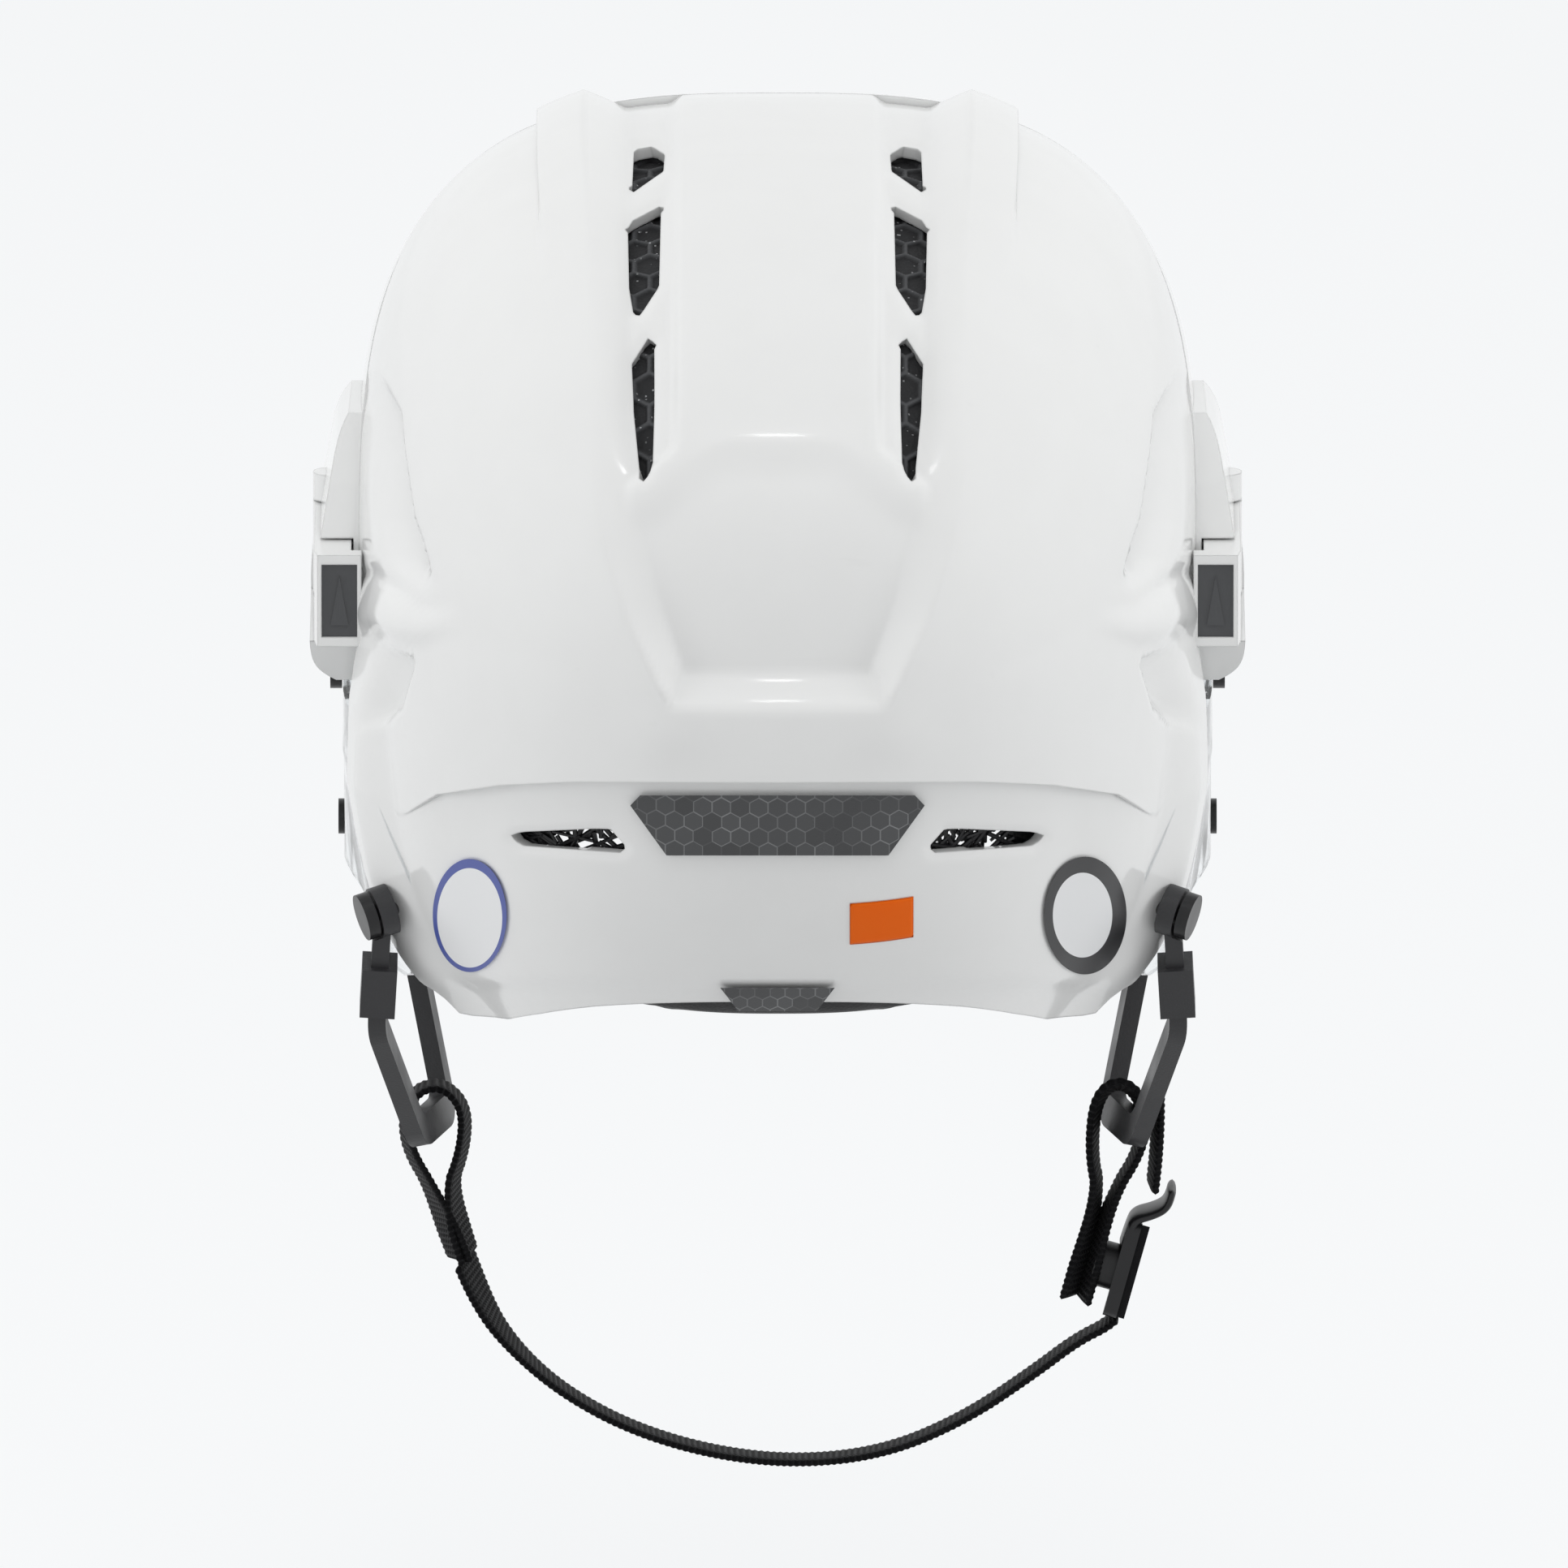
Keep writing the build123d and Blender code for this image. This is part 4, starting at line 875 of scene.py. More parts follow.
@dataclass
class RearShell:
    """Rear half of the hard shell as one moulded skin with ridges, channel, shelf, scoops and vents.

    Tables are in metres and degrees: sideways place x, height across the view v, or pitch. A pair is
    where an edge starts and ends. A vent's corners are a share of the shell's half width and a pitch.
    """

    kit: Kit
    wall: float = 0.0031
    sharp_angle: float = 50.0
    ridge_rise: float = 0.0046
    ridge_end: Pair = (8.0, 43.0)
    ridge_top: Pair = (0.047, 0.059)
    ridge_lean: float = 0.25
    ridge_edge: float = 0.0014
    channel: float = 0.0019
    channel_drop: float = 0.0018
    channel_start: Pair = (20.0, 58.0)
    channel_end: Pair = (58.0, 69.0)
    floor_drop: float = 0.0050
    floor_start: Pair = (68.0, 88.0)
    hump_half: float = 0.0285
    hump_spread: float = 0.012
    hump_start: Pair = (64.0, 69.0)
    hump_edge: float = 0.005
    ledge: float = 63.4
    ledge_bow: float = 5.0
    ledge_side: Pair = (0.012, 0.036)
    ledge_turn: float = 5.2
    foot_pitch: float = 87.1
    foot_run: float = 3.0
    foot_round: float = 0.03
    collar: float = 0.0010
    collar_width: float = 0.009
    collar_start: Pair = (62.0, 74.0)
    collar_end: Pair = (92.0, 97.0)
    bend_start: Pair = (40.0, 56.0)
    bend_end: Pair = (60.0, 72.0)
    shelf_drop: float = 0.004
    shelf_turn: float = 0.22
    shelf_pull: float = 24.0
    base_pitch: Row = (60.0, 68.0, 72.0, 81.0, 86.5)
    base_x: Row = (0.039, 0.0372, 0.0352, 0.0298, 0.0252)
    crest_pitch: Row = (60.0, 68.0, 75.0, 82.0, 87.0, 89.5)
    crest_x: Row = (0.047, 0.0465, 0.043, 0.0375, 0.0312, 0.0275)
    shelf_x: Row = (0.0, 0.0514, 0.0697, 0.0862, 0.0945)
    shelf_v: Row = (-0.0196, -0.0194, -0.0202, -0.0226, -0.0276)
    groove_depth: float = 0.0026
    groove_reach: float = 0.0038
    scoop_depth: float = 0.0048
    scoop_run: Pair = (0.003, 0.040)
    scoop_edge: float = 0.0018
    scoop_soft: float = 0.010
    scoop_foot: Pair = (0.029, 0.0385)
    scoop_v: Row = (0.0374, 0.0415, 0.0468, 0.0537, 0.065, 0.0737, 0.0843)
    scoop_x: Row = (0.0893, 0.0904, 0.0923, 0.0934, 0.095, 0.0957, 0.1008)
    depth_v: Row = (0.027, 0.033, 0.0374, 0.0415, 0.0537, 0.065, 0.0737, 0.0843)
    depth_share: Row = (0.0, 0.45, 0.9, 1.0, 0.9, 0.75, 0.5, 0.0)
    recess_depth: float = 0.0042
    recess_run: Pair = (0.002, 0.032)
    recess_edge: float = 0.0022
    recess_x: Row = (0.1033, 0.091, 0.0946, 0.1059, 0.112, 0.112)
    recess_v: Row = (0.0181, 0.0114, -0.0005, -0.0119, -0.0119, 0.0181)
    fin_rise: float = 0.0021
    fin_face: Pair = (0.0, 0.7)
    fin_under: Pair = (0.72, 1.15)
    valley: float = 0.4
    valley_width: float = 0.0018
    fin_x: Row = (0.0828, 0.0904, 0.0957, 0.1021)
    fin_top: Row = (0.0251, 0.026, 0.0287, 0.0336)
    fin_foot: Row = (0.0178, 0.016, 0.0161, 0.0187)
    fin_height_x: Row = (0.080, 0.089, 0.097, 0.105)
    fin_height: Row = (0.0, 0.5, 1.0, 0.75)
    lip: float = 0.0007
    lip_width: float = 0.0022
    vents: tuple[Pairs, ...] = (
        ((0.347, 11.8), (0.304, 11.4), (0.273, 14.4), (0.276, 19.5), (0.352, 24.4)),
        (
            (0.282, 28.0), (0.289, 43.0), (0.336, 47.2), (0.352, 47.0),
            (0.362, 42.8), (0.363, 32.2), (0.352, 30.6),
        ),
        (
            (0.317, 50.6), (0.302, 51.2), (0.301, 67.3), (0.317, 68.1),
            (0.330, 67.7), (0.352, 60.0), (0.357, 53.9),
        ),
        (
            (0.651, 109.7), (0.637, 108.5), (0.452, 104.7), (0.411, 104.3),
            (0.372, 106.0), (0.383, 106.8), (0.634, 110.2),
        ),
    )
    rim_turn: float = 0.0014
    rim_v: float = -0.0708
    rim_run: float = 0.006
    rim_y: Row = (-0.1536, -0.102, -0.09, -0.075, -0.06, -0.044, 0.0045)
    rim_z: Row = (-0.05007, -0.05007, -0.0545, -0.0605, -0.0660, -0.0692, -0.0692)
    flare_z: Row = (-0.06, -0.035, -0.011, 0.010, 0.030)
    flare_out: Row = (0.0058, 0.0062, 0.0066, 0.0040, 0.0)
    flare_y: Pair = (-0.0555, -0.0400)
    column_runs: tuple[Row, ...] = ((0.0, 0.024, 0.002), (0.024, 0.062, 0.0011), (0.062, 0.086, 0.0016))
    side_start: float = 0.086
    side_end: float = 0.12
    side_columns: int = 64
    shelf_step: float = 0.002
    shelf_steps: int = 49
    shelf_limits: Pair = (70.0, 130.0)
    upper_rows: tuple[Row, ...] = ((-16.0, 9.4, 1.4), (9.8, 70.0, 0.55))
    above_shelf: Row = (70.0, 0.4, 0.6)
    below_shelf: Row = (0.7, 110.5, 0.42)
    rim_rows: Row = (110.8, 150.0, 1.0)
    tongue_half: float = 0.084
    tongue_shape: tuple[int, int] = (17, 61)
    tongue_limits: Pair = (-60.0, 40.0)
    tongue_depth: float = -0.004
    tongue_reach: Pair = (0.0295, -0.007)
    tongue_faces: Pair = (-0.0041, -0.0069)

    def view_height(self, x: Array, pitch: Array) -> Array:
        """Height across the view of a place on the plain dome: z cosine tilt plus y sine tilt."""
        spot = self.kit.dome.point(x, pitch, 0.0)
        return spot[..., 2] * math.cos(VIEW_TILT) + spot[..., 1] * math.sin(VIEW_TILT)

    def channel_relief(self, x: Array, pitch: Array) -> Array:
        """Rise of the ridges and of what lies between them.

        Between the ridges the skin sinks to a channel, and a hump fills its middle down to a
        rounded ledge. Walls join that floor to the skin outside: their share is the smooth
        maximum of the place across the side wall and across the wall at the foot.

        Args:
            x: sideways places without their sign.
            pitch: pitches, in degrees.

        Returns:
            Rise over the plain dome.
        """
        crest, outer = self.ridge_top
        lean = 1.0 - self.ridge_lean * np.clip((x - crest) / (outer - crest), 0.0, 1.0)
        upper = self.ridge_rise * fall(pitch, *self.ridge_end) * lean
        upper = upper * fall(x, outer, outer + self.ridge_edge)
        depth = self.channel + self.channel_drop * ease(pitch, *self.channel_start)
        depth = depth - self.channel_drop * ease(pitch, *self.channel_end)
        depth = depth + self.floor_drop * ease(pitch, *self.floor_start)
        half = self.hump_half + self.hump_spread * ease(pitch, *self.hump_start)
        ledge = self.ledge + self.ledge_bow * ease(x, *self.ledge_side)
        hump = fall(x, half - self.hump_edge, half) * fall(pitch, ledge, ledge + self.ledge_turn)
        floor = -depth * (1.0 - hump)
        base = np.interp(pitch, self.base_pitch, self.base_x)
        top = np.interp(pitch, self.crest_pitch, self.crest_x)
        side, foot = (x - base) / (top - base), (pitch - self.foot_pitch) / self.foot_run
        share = np.clip((side + foot + np.sqrt((side - foot) ** 2 + self.foot_round)) / 2.0, 0.0, 1.0)
        collar = self.collar * ease(pitch, *self.collar_start) * fall(pitch, *self.collar_end)
        upper = upper + collar * bell(x - top, self.collar_width)
        bend = ease(pitch, *self.bend_start) * fall(pitch, *self.bend_end)
        return floor + (upper - floor) * share * (1.0 + (1.0 - share) * bend)

    def hollow(self, x: Array, start: Array, pitch: Array, depth: float, run: Pair) -> Array:
        """Depth of a hollow that is deepest at its inner boundary and runs out towards the seam.

        The way from the boundary is the loss of the dome's radius since it. A groove, a bell
        curve of that way, runs along the boundary.

        Args:
            x: sideways places.
            start: sideways places of the boundary.
            pitch: pitches, in degrees.
            depth: depth at the boundary.
            run: where the hollow starts and stops running out.

        Returns:
            Depth in metres.
        """
        dome = self.kit.dome
        lost = dome.left(start / dome.half_width, pitch) - dome.left(x / dome.half_width, pitch)
        out = np.maximum(dome.reach(pitch) * lost, 0.0)
        return depth * fall(out, *run) + self.groove_depth * bell(out, self.groove_reach)

    def side_relief(self, x: Array, pitch: Array, v: Array) -> Array:
        """Rise at each side: an upper scoop, a fin with a valley above it and a lower recess.

        Args:
            x: sideways places without their sign.
            pitch: pitches, in degrees.
            v: heights across the view.

        Returns:
            Rise over the plain dome.
        """
        start = np.interp(v, self.scoop_v, self.scoop_x)
        half = (self.scoop_edge + self.scoop_soft * fall(v, *self.scoop_foot)) / 2.0
        share = ease(x - start, -half, half) * np.interp(v, self.depth_v, self.depth_share)
        scoop = share * self.hollow(x, start, pitch, self.scoop_depth, self.scoop_run)
        start = np.interp(v, self.recess_v[2:0:-1], self.recess_x[2:0:-1])
        corners = tuple(zip(self.recess_x, self.recess_v))
        share = ease(-polygon_gap(x, v, corners), 0.0, self.recess_edge)
        recess = share * self.hollow(x, start, pitch, self.recess_depth, self.recess_run)
        top, foot = (np.interp(x, self.fin_x, values) for values in (self.fin_top, self.fin_foot))
        across = (top - v) / (top - foot)
        fin = ease(across, *self.fin_face) * fall(across, *self.fin_under)
        fin = fin - self.valley * bell(v - top, self.valley_width)
        return self.fin_rise * np.interp(x, self.fin_height_x, self.fin_height) * fin - scoop - recess

    def rise(self, x: Array, pitch: Array, under: Array, gap: Array) -> Array:
        """Rise of the moulded skin: the relief above the shelf, a drop below it, and a lip at vents.

        Args:
            x: sideways places.
            pitch: pitches, in degrees.
            under: share from 0 on the shelf's edge to 1 below it.
            gap: distance to the nearest vent.

        Returns:
            Rise over the plain dome.
        """
        wide, v = np.abs(x), self.view_height(x, pitch)
        band = -self.shelf_drop * fall(wide, *self.kit.dome.band_side)
        turned_in = self.rim_turn * ease(self.rim_v - v, 0.0, self.rim_run)
        above = self.channel_relief(wide, pitch) + self.side_relief(wide, pitch, v)
        lip = self.lip * fall(gap, 0.0, self.lip_width)
        return above * (1.0 - under) + (band - turned_in) * under - lip

    def openings(self, x: Array, pitch: Array) -> Array:
        """Distance to the nearest vent or slot, below zero inside one."""
        v, wide = self.view_height(x, pitch), np.abs(x)
        gap = np.full(x.shape, np.inf)
        for outline in self.vents:
            shares, pitches = np.array(outline).T
            spots = shares * self.kit.dome.half_width
            corners = tuple(zip(spots.tolist(), self.view_height(spots, pitches).tolist()))
            gap = np.minimum(gap, polygon_gap(wide, v, corners))
        return gap

    def kept(self, spot: Array) -> Array:
        """Distance to the seam or the rim, above zero on the skin."""
        rim = spot[..., 2] - np.interp(spot[..., 1], self.rim_y, self.rim_z)
        return np.minimum(-self.kit.dome.ahead(spot), rim)

    def flared(self, spot: Array) -> Array:
        """Draws the lower flank outwards near the seam, where the shell is wider than the dome."""
        out = np.interp(spot[..., 2], self.flare_z, self.flare_out)
        spot[..., 0] += np.sign(spot[..., 0]) * out * ease(spot[..., 1], *self.flare_y)
        return spot

    def columns(self) -> Array:
        """Sideways places of the grid's columns: close round the vents, then even along the side wall."""
        dome = self.kit.dome
        power = dome.squareness
        start = (1.0 - (self.side_start / dome.half_width) ** power) ** (1.0 / power)
        share = np.linspace(start, self.side_end, self.side_columns)
        side = dome.half_width * (1.0 - share**power) ** (1.0 / power)
        half = np.concatenate([np.arange(*run) for run in self.column_runs] + [side])
        return np.concatenate((-half[:0:-1], half))

    def rows(self, shelf: float) -> Array:
        """Pitches of the grid's rows on the plane of symmetry, with two at the shelf's edge.

        A run is its start, its end and its step; next to the shelf one end is a distance from it.
        """
        start, short, coarse = self.above_shelf
        past, end, fine = self.below_shelf
        runs = (
            *self.upper_rows,
            (start, shelf - short, coarse),
            (shelf, shelf + 1.5 * self.shelf_turn, self.shelf_turn),
            (shelf + past, end, fine),
            self.rim_rows,
        )
        return np.concatenate([np.arange(*run) for run in runs])

    def skin(self) -> Piece:
        """Builds the outer skin from a grid whose points are drawn on to the borders.

        A point whose distance to a border is under half of its change over one cell moves to
        the border along the gradient. Cells keep four corners, or three as a triangle.
        """
        edge_x = self.shelf_step * np.arange(self.shelf_steps)
        edge_v = np.interp(edge_x, self.shelf_x, self.shelf_v)
        edge = solve_between(
            lambda pitch: self.view_height(edge_x, pitch) - edge_v, *self.shelf_limits, self.shelf_steps
        )
        shelf, dip = float(edge[0]), edge - edge[0]
        columns, rows = self.columns(), self.rows(shelf)
        shape = (len(rows), len(columns))

        def lay(row_at: Array, column_at: Array) -> tuple[Array, Array]:
            """Points for places given by index, and how far they lie inside the borders.

            Rows near the shelf follow its edge, in step with a bell curve of the distance to it.
            """
            x = np.interp(column_at, np.arange(shape[1]), columns)
            row = np.interp(row_at, np.arange(shape[0]), rows)
            pitch = row + bell(row - shelf, self.shelf_pull) * np.interp(np.abs(x), edge_x, dip)
            gap = self.openings(x, pitch)
            under = np.clip((row - shelf) / self.shelf_turn, 0.0, 1.0)
            spot = self.flared(self.kit.dome.point(x, pitch, self.rise(x, pitch, under, gap)))
            return spot, np.minimum(self.kept(spot), gap)

        i, j = np.indices(shape, dtype=float)
        points, border = lay(i, j)
        slopes = np.stack(np.gradient(border))
        near = np.abs(border) <= 0.5 * np.abs(slopes).max(axis=0)
        steep = np.maximum((slopes**2).sum(axis=0), 1e-16)
        for _ in range(2):
            moves = np.where(near, np.clip(border * slopes / steep, -0.5, 0.5), 0.0)
            i, j = i - moves[0], j - moves[1]
            points, border = lay(i, j)
        quads = grid_quads(*shape)
        held = (near | (border > 0.0)).ravel()[quads]
        four, partly = quads[held.all(axis=1)], held.sum(axis=1) == 3
        three = quads[partly][held[partly]].reshape(-1, 3)
        used = np.unique(np.concatenate((four.ravel(), three.ravel())))
        place = np.full(border.size, -1)
        place[used] = np.arange(len(used))
        faces = place[four][:, ::-1].tolist() + place[three][:, ::-1].tolist()
        return build_piece("rear_shell_skin", points.reshape(-1, 3)[used], faces)

    def thickened(self, piece: Piece) -> Piece:
        """Gives a skin its wall, and sharp edges where its faces turn by more than an angle."""
        solid = piece.modifiers.new("wall", "SOLIDIFY")
        solid.thickness, solid.offset = self.wall, -1.0
        bpy.context.view_layer.update()
        sheet = piece.data
        evaluated = piece.evaluated_get(bpy.context.evaluated_depsgraph_get())
        mesh = bpy.data.meshes.new_from_object(evaluated)
        piece.modifiers.clear()
        piece.data = mesh
        mesh.name = piece.name
        bpy.data.meshes.remove(sheet)
        mesh.set_sharp_from_angle(angle=math.radians(self.sharp_angle))
        return piece

    def tongue(self) -> Piece:
        """Tongue at the crown that runs on under the front half and shows as the halves part."""
        dome = self.kit.dome
        rows, columns = self.tongue_shape
        x = self.tongue_half * np.linspace(-1.0, 1.0, columns)
        low, high = self.tongue_limits
        front, back = (
            dome.seam_pitch(x, self.tongue_depth, reach, low, high) for reach in self.tongue_reach
        )
        share = np.linspace(0.0, 1.0, rows)[:, None]
        pitch = front * (1.0 - share) + back * share
        outer, inner = (dome.point(x, pitch, rise) for rise in self.tongue_faces)
        return closed_pad("rear_shell_tongue", outer, inner, 0.5)

    def build(self) -> None:
        """Builds the skin with its wall, and the tongue."""
        self.kit.place(self.thickened(self.skin()), "rear", "shell_white", Finish.SHELL, "rear_shell")
        self.kit.place(self.tongue(), "rear", "shell_white", Finish.SHELL)


@dataclass
class CarriedNodes:
    """CAD nodes whose shape is right and that only get a finish."""

    kit: Kit
    stems: tuple[tuple[Finish, str], ...] = (
        (Finish.SHELL, "front_shell lever"),
        (Finish.INSERT, "lever_insert"),
        (Finish.TRIM, "lock_pad lock_rack ear_loop ear_loop_clip"),
        (Finish.SCREW, "lever_pin rear_screw rear_nut front_screw loop_rivet"),
        (Finish.BADGE, "badge_plate"),
        (Finish.PLATE, "size_plate"),
        (Finish.OVAL, "label_oval"),
        (Finish.ROUND, "label_round"),
        (Finish.BLACK, "snap_stud snap_plate"),
        (Finish.WEBBING, "strap_cover"),
    )

    def build(self) -> None:
        """Gives every kept node its finish; a stem that is no node's name stands for both sides."""
        for finish, stems in self.stems:
            for stem in stems.split():
                sides = [stem + "_" + side.label for side in Side]
                for name in [stem] if stem in self.kit.nodes else sides:
                    self.kit.finishes.dress(self.kit.nodes[name], finish)
                    log.info("%s keeps its CAD shape", name)


@dataclass
class EarGuards:
    """Clear guards drawn in towards the head at their lower ends, as moulded."""

    kit: Kit
    top: float = -0.012
    lean: float = 0.17
    behind: Pair = (0.0, 0.038)

    def build(self) -> None:
        """Builds both from copies of the CAD meshes, sheared in step with the depth below a level."""
        for side in Side:
            node = self.kit.nodes["ear_guard_" + side.label]
            mesh = node.data.copy()
            mesh.name = "ear_guard_sheet_" + side.label
            mesh.transform(node.matrix_world)
            spots = spots_of(mesh)
            lean = self.lean * fall(spots[:, 1], *self.behind)
            spots[:, 0] -= side.value * lean * np.maximum(0.0, self.top - spots[:, 2])
            mesh.vertices.foreach_set("co", spots.ravel())
            self.kit.place(link_piece(mesh), "rear", "clear_guard", Finish.CLEAR, node.name)


@dataclass(frozen=True)
class CrownPad:
    """Sizes of one pad at the crown.

    Its front edge lies so far ahead of the seam, measured at the pad's depth, and low is where the
    search for it starts. The pad ends at a pitch and has channels along both columns and each row.
    """

    name: str
    wide: float
    tall: float
    half: float
    depth: float
    ahead: float
    low: float
    end: float
    column: float
    rows: Row = ()


@dataclass
class Padding:
    """Foam pads inside both halves, each with rounded edges and pressed channels.

    A size is a pad's width and height, a slot is where the room for the net behind it starts and
    ends on both sides, and rows and columns are where channels are pressed.
    """

    kit: Kit
    depth: float = 0.020
    least: float = 0.006
    rear_clear: float = 0.0074
    front_clear: float = 0.0038
    wall_clear: float = 0.0006
    edge: float = 0.006
    groove: float = 0.0026
    groove_half: float = 0.0022
    step: float = 0.0022
    seam_gap: float = 0.033
    seam_depth: float = -0.014
    liner_size: Pair = (0.095, 0.14)
    liner_pitch: Pair = (43.5, 100.5)
    liner_start: float = 0.002
    liner_limits: Pair = (0.03, 0.1065)
    liner_lift: float = 5.0
    liner_slot: Row = (0.030, 0.038, 0.068, 0.076)
    liner_rows: Row = (0.135, 0.175, 0.215)
    liner_column: float = 0.033
    nape_size: Pair = (0.2, 0.07)
    nape_pitch: Pair = (103.5, 129.5)
    nape_half: float = 0.086
    nape_limits: Pair = (0.03, 0.105)
    nape_dip: float = 10.5
    nape_slot: Row = (0.030, 0.037, 0.069, 0.076)
    nape_columns: Row = (-0.03, 0.03)
    crown_high: float = 20.0
    crown_pads: tuple[CrownPad, ...] = (
        CrownPad("rear crown_liner", 0.15, 0.12, 0.072, -0.014, 0.027, -45.0, 39.5, 0.024, (0.0, 0.04)),
        CrownPad("front front_crown_liner", 0.17, 0.06, 0.086, -0.012, 0.033, -60.0, -56.0, 0.03),
    )
    brow_size: Pair = (0.2, 0.06)
    brow_half: float = 0.094
    brow_top: float = -61.0
    brow_depth: float = 0.017
    brow_seat: float = -0.010
    brow_clear: float = 0.003
    brow_limits: Pair = (58.0, 125.0)
    brow_columns: Row = (-0.04, 0.0, 0.04)
    temple_size: Pair = (0.11, 0.095)
    temple_y: Pair = (-0.03, 0.07)
    temple_clear: float = 0.004
    temple_top: float = 0.0895
    temple_gap: float = 0.0275
    temple_front: float = 0.069
    temple_seat: float = -0.0094
    temple_rows: Row = (0.032, 0.062)
    temple_rounds: int = 12

    def shares(self, wide: float, tall: float) -> tuple[Array, Array]:
        """Shares down and across the grid of a pad of that size, with the usual step."""
        rows, columns = (max(12, int(size / self.step)) for size in (tall, wide))
        return np.linspace(0.0, 1.0, rows)[:, None], np.linspace(0.0, 1.0, columns)[None, :]

    def rounded(self, outer: Array, inner: Array) -> tuple[Array, Array]:
        """Draws both faces together at the border along a quarter circle.

        The share of the half thickness kept is the root of 1 less the square of what is
        left of the edge width, measured along the grid in metres.

        Args:
            outer: outer face, shape (rows, columns, 3).
            inner: inner face of the same shape.

        Returns:
            The rounded outer and inner faces.
        """
        middle = (outer + inner) / 2.0
        across = np.linalg.norm(np.diff(middle, axis=1, prepend=middle[:, :1]), axis=2).cumsum(axis=1)
        along = np.linalg.norm(np.diff(middle, axis=0, prepend=middle[:1]), axis=2).cumsum(axis=0)
        gaps = (across, across[:, -1:] - across, along, along[-1:] - along)
        share = quarter(np.minimum.reduce(gaps) / self.edge)[..., None]
        return middle + (outer - middle) * share, middle + (inner - middle) * share

    def channels(self, place: Array, lines: Row) -> Array:
        """Depth of pressed channels: the highest bell curve round any line."""
        bells = [self.groove * bell(place - line, self.groove_half) for line in lines]
        return np.maximum.reduce([np.zeros_like(place)] + bells)

    def dome_pad(
        self, name: str, x: Array, pitch: Array, rows: Row, columns: Row, inner_depth: float | None = None
    ) -> None:
        """Builds one pad of the dome from a grid of sideways places and pitches.

        Args:
            name: body that the pad rides on and CAD node that it stands for.
            x: sideways places, in metres.
            pitch: pitches, in degrees.
            rows: ways over the dome of the channels that run across.
            columns: sideways places of the channels that run along.
            inner_depth: depth of the inner face below the dome, if not the usual one.
        """
        dome = self.kit.dome
        x, pitch = np.broadcast_arrays(x, pitch)
        skin = np.full_like(x, self.front_clear)
        if name.startswith("rear"):
            skin = np.maximum(self.rear_clear, dome.wall(x, pitch) + self.wall_clear)
        along = np.radians(pitch) * dome.reach(pitch)
        pressed = np.maximum(self.channels(x, columns), self.channels(along, rows))
        below = np.maximum(inner_depth or self.depth, skin + self.least) - pressed
        self.finish(name, dome.point(x, pitch, -skin), dome.point(x, pitch, -below))

    def finish(self, name: str, outer: Array, inner: Array) -> None:
        """Rounds, closes, dresses and places one pad, named by its body and its CAD node."""
        body, node = name.split()
        piece = closed_pad("pad_" + node, *self.rounded(outer, inner))
        self.kit.place(piece, body, "foam_black", Finish.PAD, node)

    @staticmethod
    def between(span: tuple[Array | float, Array | float], share: Array) -> Array:
        """Values from the first to the second of a pair, in step with the share."""
        return span[0] + (span[1] - span[0]) * share

    @staticmethod
    def room(x: Array, slot: Row) -> Array:
        """Share of room made for a net: 1 between the slot's middle two places, 0 outside it."""
        return ease(np.abs(x), *slot[:2]) * fall(np.abs(x), *slot[2:])

    def rear_liners(self) -> None:
        """Two pads down the back, from the crown pad to the shelf, ending short of the seam."""
        down, over = self.shares(*self.liner_size)
        line = self.between(self.liner_pitch, down)
        end = self.kit.dome.seam_place(line[:, 0], self.seam_depth, self.seam_gap, *self.liner_limits)
        x = self.between((self.liner_start, end[:, None]), over)
        pitch = line - self.liner_lift * self.room(x, self.liner_slot) * down**4
        for side in Side:
            columns = (side.value * self.liner_column,)
            self.dome_pad("rear rear_liner_" + side.label, side.value * x, pitch, self.liner_rows, columns)

    def occipital(self) -> None:
        """Pad round the back of the head below the shelf, dipping under the two slots."""
        down, over = self.shares(*self.nape_size)
        line = self.between(self.nape_pitch, down)
        end = self.kit.dome.seam_place(line[:, 0], self.seam_depth, self.seam_gap, *self.nape_limits)
        x = np.minimum(self.nape_half, end)[:, None] * (2.0 * over - 1.0)
        pitch = line + self.nape_dip * self.room(x, self.nape_slot) * (1.0 - down)
        self.dome_pad("rear occipital_pad", x, pitch, (), self.nape_columns)

    def crowns(self) -> None:
        """Pad on top of the head up to the front half, and the front half's own crown pad."""
        for pad in self.crown_pads:
            down, over = self.shares(pad.wide, pad.tall)
            x = pad.half * (2.0 * over[0] - 1.0)
            start = self.kit.dome.seam_pitch(x, pad.depth, pad.ahead, pad.low, self.crown_high)
            pitch = self.between((start, pad.end), down)
            self.dome_pad(pad.name, x, pitch, pad.rows, (-pad.column, pad.column))

    def brow(self) -> None:
        """Pad behind the forehead, with its lower edge just above the face opening."""
        dome = self.kit.dome
        down, over = self.shares(*self.brow_size)
        x = self.brow_half * (2.0 * over[0] - 1.0)

        def spare(pitch: Array) -> Array:
            """Height left above the face opening."""
            spot = dome.point(x, -pitch, self.brow_seat)
            return spot[:, 2] - dome.face(spot[:, 1]) - self.brow_clear

        end = -solve_between(spare, *self.brow_limits, len(x))
        pitch = self.between((self.brow_top, end), down)
        self.dome_pad("front brow_pad", x, pitch, (), self.brow_columns, self.brow_depth)

